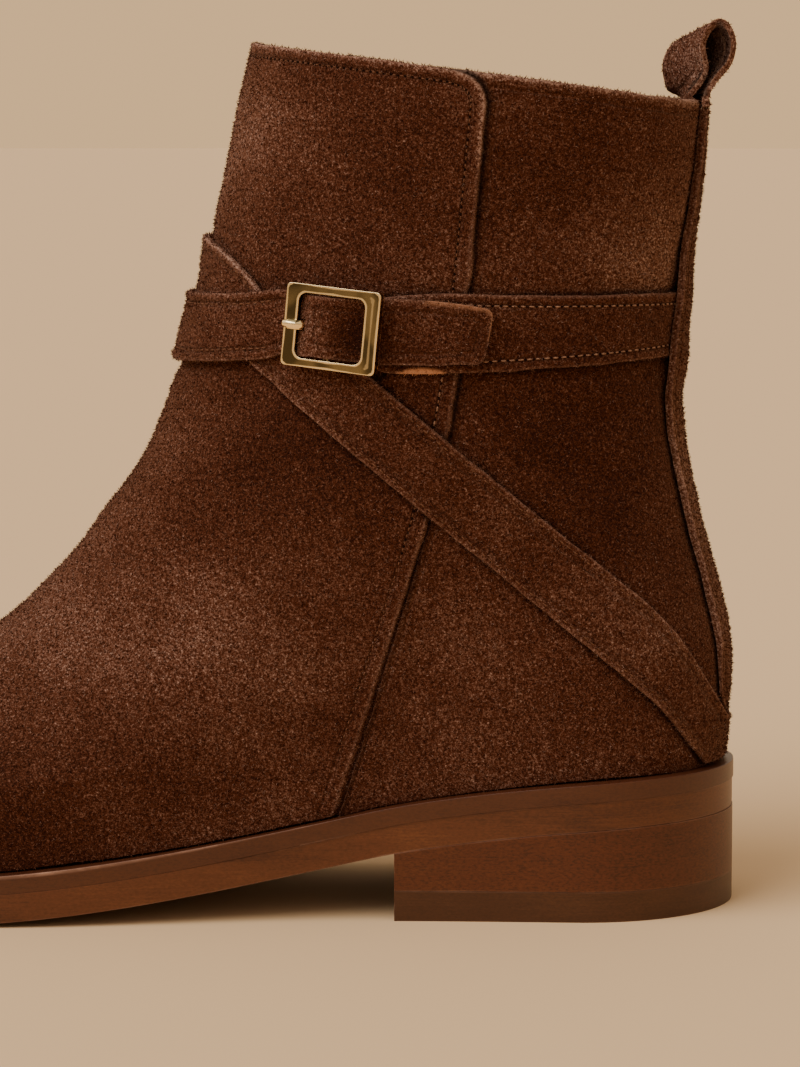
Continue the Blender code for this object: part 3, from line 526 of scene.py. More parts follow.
def nap_nodes():
    """Node tree that scatters fibres over the faces of a mesh, and keeps a tone of its own on each."""
    tree = bpy.data.node_groups.new("brushed_nap", "GeometryNodeTree")
    tree.interface.new_socket("Geometry", in_out="INPUT", socket_type="NodeSocketGeometry")
    tree.interface.new_socket("Geometry", in_out="OUTPUT", socket_type="NodeSocketGeometry")
    nodes, links = tree.nodes, tree.links
    scatter = nodes.new("GeometryNodeDistributePointsOnFaces")
    scatter.inputs["Density"].default_value = NAP_DENSITY
    scatter.inputs["Seed"].default_value = PLACE_SEED
    links.new(nodes.new("NodeGroupInput").outputs[0], scatter.inputs["Mesh"])
    fibre = nodes.new("GeometryNodeMeshCone")
    fibre.inputs["Vertices"].default_value = FIBRE_SIDES
    fibre.inputs["Radius Top"].default_value = 0
    fibre.inputs["Radius Bottom"].default_value = FIBRE_THICK
    fibre.inputs["Depth"].default_value = FIBRE_LONG
    lean = nodes.new("FunctionNodeRandomValue")
    lean.data_type = "FLOAT_VECTOR"
    lean.inputs[0].default_value = (LEAN_LEAST, 0, -math.pi)
    lean.inputs[1].default_value = (LEAN_MOST, 0, math.pi)
    turn = nodes.new("FunctionNodeEulerToRotation")
    links.new(lean.outputs[0], turn.inputs[0])
    brushed = nodes.new("FunctionNodeRotateRotation")
    brushed.rotation_space = "LOCAL"
    links.new(scatter.outputs["Rotation"], brushed.inputs[0])
    links.new(turn.outputs[0], brushed.inputs[1])
    size = nodes.new("FunctionNodeRandomValue")
    size.data_type = "FLOAT"
    size.inputs[2].default_value = SIZE_LEAST
    size.inputs[3].default_value = SIZE_MOST
    stamp = nodes.new("GeometryNodeInstanceOnPoints")
    links.new(scatter.outputs["Points"], stamp.inputs["Points"])
    links.new(fibre.outputs["Mesh"], stamp.inputs["Instance"])
    links.new(brushed.outputs[0], stamp.inputs["Rotation"])
    links.new(size.outputs[1], stamp.inputs["Scale"])
    tone = nodes.new("FunctionNodeRandomValue")
    tone.data_type = "FLOAT"
    tone.inputs["Seed"].default_value = TONE_SEED
    mark = nodes.new("GeometryNodeStoreNamedAttribute")
    mark.domain = "INSTANCE"
    mark.inputs["Name"].default_value = "tone"
    links.new(stamp.outputs["Instances"], mark.inputs["Geometry"])
    links.new(tone.outputs[1], mark.inputs["Value"])
    whole = nodes.new("GeometryNodeRealizeInstances")
    links.new(mark.outputs["Geometry"], whole.inputs["Geometry"])
    links.new(whole.outputs["Geometry"], nodes.new("NodeGroupOutput").inputs[0])
    return tree


def nap_suede():
    """Single fibres of the nap, each of its own tone."""
    material, nodes, links, shader, place = new_material("nap_suede")
    patches = fine_noise(nodes, links, place, 20 * MM, 3, (1, 1, 0.7))
    tufts = fine_noise(nodes, links, place, 1.1 * MM, 2)
    tufts = grey_steps(nodes, links, tufts, [(0.34, 0.0), (0.66, 1.0)])
    tone = weighed(nodes, links, kept_value(nodes, "tone"), tufts, 0.3)
    tone = weighed(nodes, links, tone, patches, 0.2)
    links.new(nap_colours(nodes, links, tone, (0.12, 0.42, 0.70, 0.92)), shader.inputs["Base Color"])
    shader.inputs["Roughness"].default_value = 1.0
    shader.inputs["Specular IOR Level"].default_value = 0.05
    return material


nap_tree = nap_nodes()
nap_finish = nap_suede()


def grow_nap(name, pieces, kept):
    """Fibres on the napped faces of pieces, where a test of a face says so."""
    shape = bmesh.new()
    for piece in pieces:
        shape.from_mesh(piece.data)
    bmesh.ops.delete(shape, geom=[face for face in shape.faces if not kept(face)], context="FACES")
    fibres = bpy.data.objects.new(name, bpy.data.meshes.new(name))
    shape.to_mesh(fibres.data)
    shape.free()
    bpy.context.collection.objects.link(fibres)
    apply_modifier(fibres, "NODES", node_group=nap_tree)
    bpy.ops.object.shade_smooth()
    fibres.data.materials.clear()
    fibres.data.materials.append(nap_finish)
    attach(fibres, "root")


grow_nap("nap_panel_outer", [upper], lambda face: face.material_index == PANEL
         and face.calc_center_median().y < 0)
grow_nap("nap_panel_inner", [upper], lambda face: face.material_index == PANEL
         and face.calc_center_median().y >= 0)
grow_nap("nap_quarters", [upper], lambda face: face.material_index == QUARTER)


# Lining. Thin pale calf leather, glued to the inside of the wall and trimmed just under the collar.
# It is made from the wall's inner face, drawn a little inwards and given its own thickness.
LINING_THICK = 0.7 * MM
LINING_GAP = 0.25 * MM
LINING_CREAM = (0.30, 0.185, 0.105)
LINING_SHADE = (0.20, 0.115, 0.062)


def smooth_leather(name, shade, cream, grain, rough):
    """Plain leather with fine pebbled grain, cloudy colour and a few rubbed spots."""
    material, nodes, links, shader, place = new_material(name)
    clouds = fine_noise(nodes, links, place, 18 * MM, 4)
    pebbles = nodes.new("ShaderNodeTexVoronoi")
    pebbles.inputs["Scale"].default_value = 1 / grain
    links.new(place, pebbles.inputs["Vector"])
    tone = weighed(nodes, links, clouds, pebbles.outputs["Distance"], 0.25)
    colour = colour_steps(nodes, links, tone, [(0.3, shade), (0.6, cream)])
    links.new(colour, shader.inputs["Base Color"])
    bump = raised(nodes, links, pebbles.outputs["Distance"], 0.35, 0.1 * MM)
    links.new(bump.outputs["Normal"], shader.inputs["Normal"])
    shader.inputs["Roughness"].default_value = rough
    return material


lining = copy_of("upper", "calf_lining")
select_region(lining, LINING_SPOT, INNER_SIDE)
bpy.ops.mesh.select_all(action="INVERT")
bpy.ops.mesh.delete(type="FACE")
bpy.ops.mesh.select_all(action="SELECT")
bpy.ops.transform.shrink_fatten(value=LINING_GAP)
bpy.ops.object.mode_set(mode="OBJECT")
apply_modifier(lining, "SOLIDIFY", thickness=LINING_THICK, offset=1)
apply_modifier(lining, "SUBSURF", levels=1, render_levels=1)
bpy.ops.object.shade_smooth()
lining_calf = smooth_leather("lining_calf", LINING_SHADE, LINING_CREAM, grain=0.9 * MM, rough=0.6)
lining.data.materials.append(lining_calf)
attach(lining, "root")


# Insole. A leather board under the foot, seen through the collar, covered by the same pale calf.
# It is the merged solid with its top edge rounded.
INSOLE_CORNER = 0.5 * MM
insole = copy_of("insole", "leather_insole")
round_off(insole, INSOLE_CORNER, 1)
insole_calf = smooth_leather("insole_calf", LINING_SHADE, LINING_CREAM, grain=1.1 * MM, rough=0.55)
insole.data.materials.append(insole_calf)
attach(insole, "root")
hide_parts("insole")


# Welt. A strip of dyed leather sewn to the upper all round, with a burnished edge whose top corner is
# ironed round and given a painted pale highlight along the forepart. It is the merged solid with that
# corner bevelled, drawn down onto the outsole.
EDGE_DARK = (0.050, 0.0125, 0.0040)
EDGE_BROWN = (0.090, 0.0250, 0.0072)
EDGE_RED = (0.135, 0.043, 0.0135)
# Pale line on the sole's corners, partly wear and partly a painted highlight
EDGE_WEAR_AND_HIGHLIGHT = (0.46, 0.27, 0.20)
CORNER_LINE = 0.33 * MM
DOWN = (0, 0, -1)
UP = (0, 0, 1)


def burnished_edge(name, tints, gloss, wear_and_highlight, pitted, line=CORNER_LINE):
    """Dyed and waxed cut leather: long streaks, dark pores, a pale line of a given width on its corners
    that is partly wear and partly a painted highlight, and a thin clear wax."""
    material, nodes, links, shader, place = new_material(name)
    clouds = fine_noise(nodes, links, place, 16 * MM, 3, (2.5, 2.5, 0.6))
    streaks = fine_noise(nodes, links, place, 0.8 * MM, 2, (18, 18, 0.5))
    pores = fine_noise(nodes, links, place, 0.45 * MM, 2, (1.8, 1.8, 0.8))
    fine = weighed(nodes, links, streaks, pores, 0.35)
    tone = weighed(nodes, links, clouds, fine, 0.35)
    colour = colour_steps(nodes, links, tone, list(zip((0.30, 0.5, 0.70), tints)))
    pits = grey_steps(nodes, links, pores, [(0.34, 0.6), (0.5, 1.0), (0.66, 1.25)])
    colour = blended(nodes, links, "MULTIPLY", pitted, colour, pits)
    line /= GAP_REACH
    # Pale line on the corners: partly wear, partly a painted highlight, strongest on the welt
    pale_rim = grey_steps(nodes, links, kept_value(nodes, "rim"), [(0.0, 0.9), (line / 3, 0.6), (line, 0.0)])
    spots = fine_noise(nodes, links, place, 2.4 * MM, 3, (3, 3, 1))
    spots = grey_steps(nodes, links, spots, [(0.42, 0.4 * wear_and_highlight), (0.70, wear_and_highlight)])
    pale_rim = blended(nodes, links, "MULTIPLY", 1.0, pale_rim, spots)
    colour = blended(nodes, links, "MIX", pale_rim, colour, EDGE_WEAR_AND_HIGHLIGHT)
    links.new(colour, shader.inputs["Base Color"])
    bump = raised(nodes, links, fine, 0.25, 0.12 * MM)
    links.new(bump.outputs["Normal"], shader.inputs["Normal"])
    shader.inputs["Roughness"].default_value = 0.46
    shader.inputs["Specular IOR Level"].default_value = 0.3
    shader.inputs["Coat Weight"].default_value = gloss
    shader.inputs["Coat Roughness"].default_value = 0.26
    return material


def draw_onto(piece, facing, amount):
    """Moves the faces that point one way by an amount along it, so that two layers meet."""
    way = Vector(facing)
    select_faces(piece, lambda face: face.normal.dot(way) > SQUARELY_TURNED)
    bpy.ops.transform.translate(value=way * amount)
    bpy.ops.object.mode_set(mode="OBJECT")


JOINT_FROM = 0.045


def sanded_joint(facing):
    """Test for the edges of a layer's forepart, on the side that faces one way, where two layers are
    sanded to one."""
    way = Vector(facing)

    def hidden(edge):
        fore = edge.verts[0].co.x < JOINT_FROM
        return fore and any(face.normal.dot(way) > SQUARELY_TURNED for face in edge.link_faces)

    return hidden


def iron_top(piece, radius):
    """Rounds the top corner of a layer, as an edge iron does."""
    work_on(piece)
    bpy.ops.object.mode_set(mode="EDIT")
    bpy.ops.mesh.select_mode(type="EDGE")
    bpy.ops.mesh.select_all(action="DESELECT")
    shape = bmesh.from_edit_mesh(piece.data)
    for edge in shape.edges:
        on_top = any(face.normal.z > SQUARELY_TURNED for face in edge.link_faces)
        if on_top and edge.is_convex and not edge.smooth:
            edge.select = True
    bmesh.update_edit_mesh(piece.data)
    bpy.ops.mesh.bevel(offset=radius, segments=3, affect="EDGES", clamp_overlap=True)
    bpy.ops.mesh.select_mode(type="FACE")
    bpy.ops.object.mode_set(mode="OBJECT")


LAYER_CORNER = 0.08 * MM


def finish_layer(piece, node, finish, hidden=lambda edge: False, ironed=0):
    """Smooths one layer of the sole and gives it its finish."""
    keep = measure_gaps(piece, hidden)
    if ironed:
        iron_top(piece, ironed)
    round_off(piece, LAYER_CORNER, 2)
    keep()
    piece.data.materials.append(finish)
    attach(piece, "root")
    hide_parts(node)


LAYER_GAP = 0.28 * MM
WELT_BROWN = (0.072, 0.0205, 0.0076)
WELT_IRONED = 0.45 * MM
# Painted highlight on the welt's ironed top corner: its width, and the place and run in metres over which
# it fades out towards the heel
HIGHLIGHT_WIDTH = 0.9 * MM
HIGHLIGHT_TO = 0.005
HIGHLIGHT_FADE = 0.07
welt = copy_of("welt", "leather_welt")
draw_onto(welt, DOWN, LAYER_GAP)
welt_edge = burnished_edge(
    "welt_edge", (EDGE_DARK, WELT_BROWN, EDGE_BROWN), gloss=0.3, wear_and_highlight=1.0, pitted=0.35, line=HIGHLIGHT_WIDTH)
finish_layer(welt, "welt", welt_edge, sanded_joint(DOWN), WELT_IRONED)
# The welt's painted highlight fades out towards the heel, where its gaps to the corner are pushed out by
# up to its width
corner_gaps = welt.data.attributes["rim"].data
for vertex in welt.data.vertices:
    fade = min(max((vertex.co.x - HIGHLIGHT_TO) / HIGHLIGHT_FADE, 0), 1)
    corner_gaps[vertex.index].value += fade * HIGHLIGHT_WIDTH / GAP_REACH


# Outsole. A bend of sole leather cemented and sewn under the welt, with a rounded, waxed edge.
# It is the merged solid with its corners ironed round, sanded flush with the welt along the forepart.
SOLE_BROWN = (0.098, 0.0280, 0.0088)
JOINT_STEP = 0.25 * MM
JOINT_FADE = 0.025
outsole = copy_of("outsole", "leather_outsole")
for vertex in outsole.data.vertices:
    sideways = (vertex.normal * Vector((1, 1, 0))).normalized()
    vertex.co += sideways * JOINT_STEP * min(max((JOINT_FROM - vertex.co.x) / JOINT_FADE, 0), 1)
outsole_edge = burnished_edge(
    "outsole_edge", (EDGE_DARK, SOLE_BROWN, EDGE_RED), gloss=0.3, wear_and_highlight=0.3, pitted=0.35)
finish_layer(outsole, "outsole", outsole_edge, sanded_joint(UP))


# Heel. Stacked lifts of leather, glued, pegged and sanded flush with the sole's edge, then stained
# a shade redder. It is the merged solid with fine rounded corners, drawn up onto the outsole.
HEEL_RED = (0.080, 0.0195, 0.0056)
heel = copy_of("heel_stack", "stacked_heel")
draw_onto(heel, UP, LAYER_GAP)
heel_edge = burnished_edge(
    "heel_edge", (EDGE_DARK, HEEL_RED, EDGE_BROWN), gloss=0.2, wear_and_highlight=0.2, pitted=0.8)
finish_layer(heel, "heel_stack", heel_edge)


# Top lift. The worn layer under the heel, a dark hard rubber. It is the merged solid with its edges
# eased, drawn up onto the stack.
LIFT_DARK = (0.054, 0.0180, 0.0062)
LIFT_BROWN = (0.072, 0.0250, 0.0092)
top_lift = copy_of("top_lift", "rubber_top_lift")
draw_onto(top_lift, UP, LAYER_GAP)
lift_edge = burnished_edge(
    "top_lift_rubber", (LIFT_DARK, LIFT_DARK, LIFT_BROWN), gloss=0.2, wear_and_highlight=0.15, pitted=0.3)
finish_layer(top_lift, "top_lift", lift_edge)


# Straps, back strip and pull loop. Bands of the same suede with raw edges, sewn along both sides so that
# the edge stands up like a low welt beside a sunk row of stitches. Each is the merged solid, inset along
# its edges to press the row in and rounded, with its pale flesh side bare where an edge curls.
ROW_WIDTH = 0.5 * MM
ROW_DEPTH = 0.22 * MM
STRAP_ROW_IN = 2.4 * MM
STRAP_CORNER = 0.25 * MM
BACKWARDS = (1, 0, 0)
FORWARDS = (-1, 0, 0)
strap_suede = suede("strap_suede", STRAP_ROW_IN)


def press_rows(band, high):
    """Rolls the edges of the selected faces up to a rim of a given width and height, beside a sunk row."""
    bpy.ops.mesh.inset(thickness=band / 2, depth=high, use_even_offset=False)
    bpy.ops.mesh.inset(thickness=band / 2, depth=-high - ROW_DEPTH, use_even_offset=False)
    bpy.ops.mesh.inset(thickness=ROW_WIDTH, depth=ROW_DEPTH, use_even_offset=False)
    bpy.ops.object.mode_set(mode="OBJECT")


def cut_strap(node, name, back_near, back_facing):
    """A band with suede outside and its flesh side next to the boot, before it is rounded."""
    piece = copy_of(node, name)
    piece.data.materials.append(strap_suede)
    piece.data.materials.append(raw)
    cover_region(piece, back_near, back_facing, 1)
    return piece, measure_gaps(piece)


# Spots of painted light (above 0) and painted shade (below 0) on the bands, in part also brushing, such as
# the painted shadow where a strap runs under the buckle's rear bar, in millimetres
STRAP_SPOTS = [
    LightAndBrushSpot(100, 120, 24, -0.1),
    LightAndBrushSpot(48, 121, 6, 0.25),
    LightAndBrushSpot(59, 120, 4.5, -0.6),
    LightAndBrushSpot(120, 54, 24, 0.12),
    LightAndBrushSpot(134, 90, 26, 0.3),
    LightAndBrushSpot(128, 176, 10, 0.35),
]


def finish_strap(piece, node, keep, worn_above=math.inf, levels=1):
    """Rounds a band, keeps its gaps and brushing, and puts it in its node's place."""
    round_off(piece, STRAP_CORNER, levels)
    keep()
    uneven_cut(piece)
    paint_light_and_brushing(piece, STRAP_SPOTS, worn_above)
    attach(piece, "root")
    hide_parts(node)


HEEL_STRAP_SPOT = (0.075, -0.05, 0.09)
HEEL_STRAP_BACK = (0.075, -0.02, 0.09)
# Height above which its edges are worn, in millimetres
HEEL_STRAP_WORN = 128
heel_strap, keep_gaps = cut_strap("heel_strap", "suede_heel_strap", HEEL_STRAP_BACK, INNER_SIDE)
select_region(heel_strap, HEEL_STRAP_SPOT, OUTER_SIDE)
press_rows(band=1.2 * MM, high=0.1 * MM)
finish_strap(heel_strap, "heel_strap", keep_gaps, HEEL_STRAP_WORN)

BUCKLE_STRAP_SPOT = (0.09, -0.05, 0.12)
BUCKLE_STRAP_BACK = (0.09, -0.02, 0.12)
buckle_strap, keep_gaps = cut_strap("buckle_strap", "suede_buckle_strap", BUCKLE_STRAP_BACK, INNER_SIDE)
select_region(buckle_strap, BUCKLE_STRAP_SPOT, OUTER_SIDE)
press_rows(band=1.9 * MM, high=0.1 * MM)
finish_strap(buckle_strap, "buckle_strap", keep_gaps, levels=2)
BARE_BLUR = 0.5


def bare_edge(piece, reach):
    """Bares the flesh side along the cut edges of a piece, as far in from the edge as reach says for a
    place. All of it is in millimetres."""
    gaps = kept_on(piece, "rim") * GAP_REACH / MM
    reaches = np.array([reach(*(vertex.co / MM)) for vertex in piece.data.vertices])
    layer = piece.data.attributes.new("bare", "FLOAT", "POINT")
    layer.data.foreach_set("value", np.clip((reaches - gaps) / BARE_BLUR, 0, 1))


# Curl of the buckle strap's lower edge behind the buckle, in millimetres: its bared flesh side is partly
# its own paler colour and partly painted light from below
CURL_MIDDLE = 71.3
CURL_HALF = 5.5
CURL_REACH = 1.5
CURL_BELOW = 118
bare_edge(buckle_strap, lambda x, y, z: CURL_REACH * (1 - ((x - CURL_MIDDLE) / CURL_HALF) ** 2)
          if z < CURL_BELOW else 0)

BACK_STRIP_SPOT = (0.14, 0.0, 0.10)
BACK_STRIP_BACK = (0.12, 0.0, 0.10)
back_strip, keep_gaps = cut_strap("back_strip", "suede_back_strip", BACK_STRIP_BACK, FORWARDS)
select_region(back_strip, BACK_STRIP_SPOT, BACKWARDS)
press_rows(band=1.2 * MM, high=0.15 * MM)
finish_strap(back_strip, "back_strip", keep_gaps)

ANKLE_STRAP_SPOT = (0.03, -0.05, 0.12)
ANKLE_STRAP_BACK = (0.03, -0.02, 0.12)
BUCKLE_FRONT = 0.045
ankle_strap, keep_gaps = cut_strap("ankle_strap", "suede_ankle_strap", ANKLE_STRAP_BACK, INNER_SIDE)
select_region(ankle_strap, ANKLE_STRAP_SPOT, OUTER_SIDE)
bpy.ops.object.mode_set(mode="OBJECT")
for face in ankle_strap.data.polygons:
    face.select = face.select and (face.center.x < BUCKLE_FRONT or face.center.y > 0)
bpy.ops.object.mode_set(mode="EDIT")
press_rows(band=1.9 * MM, high=0.35 * MM)

# The rear end of the prong's slot is drawn forwards, so that the leather closes round the prong
SLOT_FROM, SLOT_TO = 0.040, 0.055
SLOT_CLOSED = 0.8 * MM
SLOT_END_TURNED = 0.7


def slot_end(face):
    """Test for the faces at the rear end of the slot."""
    at_slot = SLOT_FROM < face.center.x < SLOT_TO and face.center.y < 0
    return at_slot and face.normal.x < -SLOT_END_TURNED


select_faces(ankle_strap, slot_end)
bpy.ops.transform.translate(value=(-SLOT_CLOSED, 0, 0))
bpy.ops.object.mode_set(mode="OBJECT")
finish_strap(ankle_strap, "ankle_strap", keep_gaps)

# Bare upper edge of the strap's tail, in millimetres
TAIL_FROM = 72
TAIL_MIDDLE = 120
TAIL_REACH = 0.34
bare_edge(ankle_strap, lambda x, y, z: TAIL_REACH * (y < 0 and x > TAIL_FROM and z > TAIL_MIDDLE))

pull_loop = copy_of("pull_loop", "suede_pull_loop")
pull_loop.data.materials.append(strap_suede)
finish_strap(pull_loop, "pull_loop", measure_gaps(pull_loop), levels=2)

# Painted shade inside the loop, as dark as at the foot of a step
LOOP_MIDDLE = Vector((0.1263, 0, 0.1760))
LOOP_LOW = 0.1685
LOOP_SHADE = 0.03
LOOP_TURNED = 0.3
loop_shade = pull_loop.data.attributes["foot"].data
for vertex in pull_loop.data.vertices:
    inwards = (LOOP_MIDDLE - vertex.co) * Vector((1, 0, 1))
    if vertex.co.z > LOOP_LOW and vertex.normal.dot(inwards.normalized()) > LOOP_TURNED:
        loop_shade[vertex.index].value = LOOP_SHADE

bands = [heel_strap, buckle_strap, back_strip, ankle_strap, pull_loop]
grow_nap("nap_straps", bands, lambda face: face.material_index == 0)


# Stitches. Waxed thread in rows beside the cut edges, each stitch sunk at both ends into one of the needle
# holes, whose shade is painted as a small dark ball. One stitch and one such ball are modelled from a
# ball, drawn long, and copied along each row.
THREAD_BROWN = (0.185, 0.085, 0.050)
THREAD_TAN = (0.36, 0.205, 0.140)
# Painted shade inside the needle holes
HOLE_SHADE = (0.010, 0.0030, 0.0012)
THREAD_SHADE = 0.45


def waxed_thread(name, colour):
    """Twisted thread, darker between its plies."""
    material, nodes, links, shader, place = new_material(name)
    twist = fine_noise(nodes, links, place, 0.25 * MM, 2)
    dark = tuple(THREAD_SHADE * channel for channel in colour)
    plies = colour_steps(nodes, links, twist, [(0.35, dark), (0.65, colour)])
    links.new(plies, shader.inputs["Base Color"])
    bump = raised(nodes, links, twist, 0.5, 0.1 * MM)
    links.new(bump.outputs["Normal"], shader.inputs["Normal"])
    shader.inputs["Roughness"].default_value = 0.9
    shader.inputs["Specular IOR Level"].default_value = 0.08
    return material


def small_ball(length, width, height):
    """Points and faces of a ball drawn to a length, width and height."""
    bpy.ops.object.select_all(action="DESELECT")
    bpy.ops.mesh.primitive_uv_sphere_add(segments=6, ring_count=4, radius=0.5)
    ball = bpy.context.object
    bpy.ops.object.mode_set(mode="EDIT")
    bpy.ops.transform.rotate(value=math.pi / 2, orient_axis="Y", center_override=(0, 0, 0))
    bpy.ops.transform.resize(value=(length, width, height))
    bpy.ops.object.mode_set(mode="OBJECT")
    points = np.array([vertex.co for vertex in ball.data.vertices])
    faces = [list(face.vertices) for face in ball.data.polygons]
    bpy.data.objects.remove(ball)
    return points, faces


def region_rims(node, near, facing):
    """Closed lines round one region of a solid, as rows of places and of outward directions."""
    piece = copy_of(node, "rim_finder")
    select_region(piece, near, facing)
    shape = bmesh.from_edit_mesh(piece.data)
    chosen = [face for face in shape.faces if face.select]
    after = {}
    for face in chosen:
        for corner in face.loops:
            if sum(other.select for other in corner.edge.link_faces) == 1:
                after[corner.vert] = corner.link_loop_next.vert
    outward = {}
    for vert in after:
        outward[vert] = sum((face.normal for face in vert.link_faces if face.select), Vector())
    rims = []
    while after:
        line = [next(iter(after))]
        while line[-1] in after:
            line.append(after.pop(line[-1]))
        rims.append((np.array([vert.co for vert in line]),
                     np.array([outward[vert].normalized() for vert in line])))
    bpy.ops.object.mode_set(mode="OBJECT")
    bpy.data.objects.remove(piece)
    return rims


def row_frames(node, near, facing, piece, inset, pitch, kept):
    """Places and axes of the stitches of a row that runs inside the rim of one region of a solid, on the
    skin of the finished piece, where a test of a place in millimetres says so."""
    skin = skin_of(piece.data)
    frames = []
    for line, outward in region_rims(node, near, facing):
        run = np.concatenate([[0], np.cumsum(np.linalg.norm(np.diff(line, axis=0), axis=1))])
        marks = np.arange(0, run[-1], pitch)
        spots = np.stack([np.interp(marks, run, line[:, axis]) for axis in range(3)], axis=1)
        ups = np.stack([np.interp(marks, run, outward[:, axis]) for axis in range(3)], axis=1)
        ways = np.roll(spots, -1, axis=0) - np.roll(spots, 1, axis=0)
        for spot, up, way in zip(spots, ups, ways):
            inner = Vector(up).cross(Vector(way)).normalized()
            place, above = skin.find_nearest(Vector(spot) + inner * inset)[:2]
            along = (Vector(way) - above * above.dot(Vector(way))).normalized()
            if kept(*(place / MM)):
                frames.append((place, along, above.cross(along), above))
    return frames


def copy_along(name, model, frames, shift, finish):
    """Copies a small model to each frame of a row, shifted along it, as one piece."""
    points, faces = model
    places = []
    corners = []
    for place, along, across, up in frames:
        axes = np.array([along, across, up])
        corners += [[index + len(places) for index in face] for face in faces]
        places += list(np.array(place) + (points + (shift, 0, 0)) @ axes)
    mesh = bpy.data.meshes.new(name)
    mesh.from_pydata(places, [], corners)
    piece = bpy.data.objects.new(name, mesh)
    bpy.context.collection.objects.link(piece)
    work_on(piece)
    bpy.ops.object.shade_smooth()
    mesh.materials.append(finish)
    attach(piece, "root")


PANEL_PITCH = 1.5 * MM
STRAP_PITCH = 1.8 * MM
panel_stitch = small_ball(length=0.75 * MM, width=0.34 * MM, height=0.44 * MM)
strap_stitch = small_ball(length=1.25 * MM, width=0.4 * MM, height=0.44 * MM)
hole_shade = small_ball(length=0.6 * MM, width=0.46 * MM, height=0.4 * MM)

# Rear edge of the panel in the side view and the reach of its row, in millimetres
EdgePoint = namedtuple("EdgePoint", "z x")
PANEL_EDGE = [
    EdgePoint(20.7, 52.5),
    EdgePoint(62.7, 65.8),
    EdgePoint(99.2, 75.9),
    EdgePoint(129.7, 80.3),
    EdgePoint(166.7, 84.0),
]
FLAP_WIDE = 8
FLAP_LOW = 34
COLLAR_ROW_LOW = 150
HOLES_LOW = 74
LIGHT_LOW, LIGHT_HIGH = 96, 117


def on_flap(x, y, z):
    """Beside the panel's rear edge, or along the front of the collar."""
    edge = np.interp(z, [point.z for point in PANEL_EDGE], [point.x for point in PANEL_EDGE])
    beside = x > edge - FLAP_WIDE and z > FLAP_LOW
    return beside or z > COLLAR_ROW_LOW


# Each strap's row: how far in from the edge it runs, and where it shows in the side view in millimetres
HEEL_ROW_IN = 1.2 * MM
HEEL_ROW_LOW = 32
STRIP_ROW_IN = 1.4 * MM
STRIP_ROW_LOW, STRIP_ROW_HIGH = 46, 164
BUCKLE_ROW_IN = 2.15 * MM
BUCKLE_ROW_FROM = 56
ANKLE_ROW_IN = 2.25 * MM
ANKLE_ROW_TO = 40
panel_row = row_frames("upper", PANEL_SPOT, OUTER_SIDE, upper, PANEL_ROW_IN, PANEL_PITCH, on_flap)
heel_row = row_frames(
    "heel_strap", HEEL_STRAP_SPOT, OUTER_SIDE, heel_strap, HEEL_ROW_IN, STRAP_PITCH,
    lambda x, y, z: z > HEEL_ROW_LOW)
strip_row = row_frames(
    "back_strip", BACK_STRIP_SPOT, BACKWARDS, back_strip, STRIP_ROW_IN, STRAP_PITCH,
    lambda x, y, z: STRIP_ROW_LOW < z < STRIP_ROW_HIGH)
buckle_row = row_frames(
    "buckle_strap", BUCKLE_STRAP_SPOT, OUTER_SIDE, buckle_strap, BUCKLE_ROW_IN, STRAP_PITCH,
    lambda x, y, z: x > BUCKLE_ROW_FROM)
ankle_row = row_frames(
    "ankle_strap", ANKLE_STRAP_SPOT, OUTER_SIDE, ankle_strap, ANKLE_ROW_IN, STRAP_PITCH,
    lambda x, y, z: x < ANKLE_ROW_TO or y > 0)
brown_thread = waxed_thread("brown_thread", THREAD_BROWN)
tan_thread = waxed_thread("tan_thread", THREAD_TAN)
hole_shade_finish = waxed_thread("needle_hole_shade", HOLE_SHADE)
copy_along("panel_stitches", panel_stitch, panel_row, 0, brown_thread)
# Painted shade in the needle holes along the panel's upper row and the buckle strap's row
high_row = [row for row in panel_row if row[0].z / MM > HOLES_LOW]
copy_along("panel_hole_shades", hole_shade, high_row, PANEL_PITCH / 2, hole_shade_finish)
between_straps = [row for row in panel_row if LIGHT_LOW < row[0].z / MM < LIGHT_HIGH]
copy_along("panel_light_stitches", strap_stitch, between_straps[::2], 0, tan_thread)
copy_along("heel_strap_stitches", strap_stitch, heel_row, 0, brown_thread)
copy_along("back_strip_stitches", strap_stitch, strip_row, 0, brown_thread)
copy_along("buckle_strap_stitches", strap_stitch, buckle_row, 0, tan_thread)
copy_along("buckle_strap_hole_shades", hole_shade, buckle_row, STRAP_PITCH / 2, hole_shade_finish)
copy_along("ankle_strap_stitches", strap_stitch, ankle_row, 0, brown_thread)


# Buckle. A cast frame with its bar and prong, polished and plated pale gold, with painted highlights along
# its edges and along a ridge on the rear bar and painted dark reflections on its flats. Both are the
# merged solids with their edges broken by a small bevel.
# Painted highlight on the edges and the rear bar's ridge, and painted dark reflections on the flats
GOLD_HIGHLIGHT = (1.0, 0.83, 0.50)
GOLD_OLIVE = (0.25, 0.195, 0.100)
GOLD_DEEP = (0.085, 0.067, 0.035)
REAR_BAR_FROM, REAR_BAR_TO = 0.056, 0.060
CAST_ANGLE = math.radians(40)
SMOOTH_ANGLE = math.radians(35)


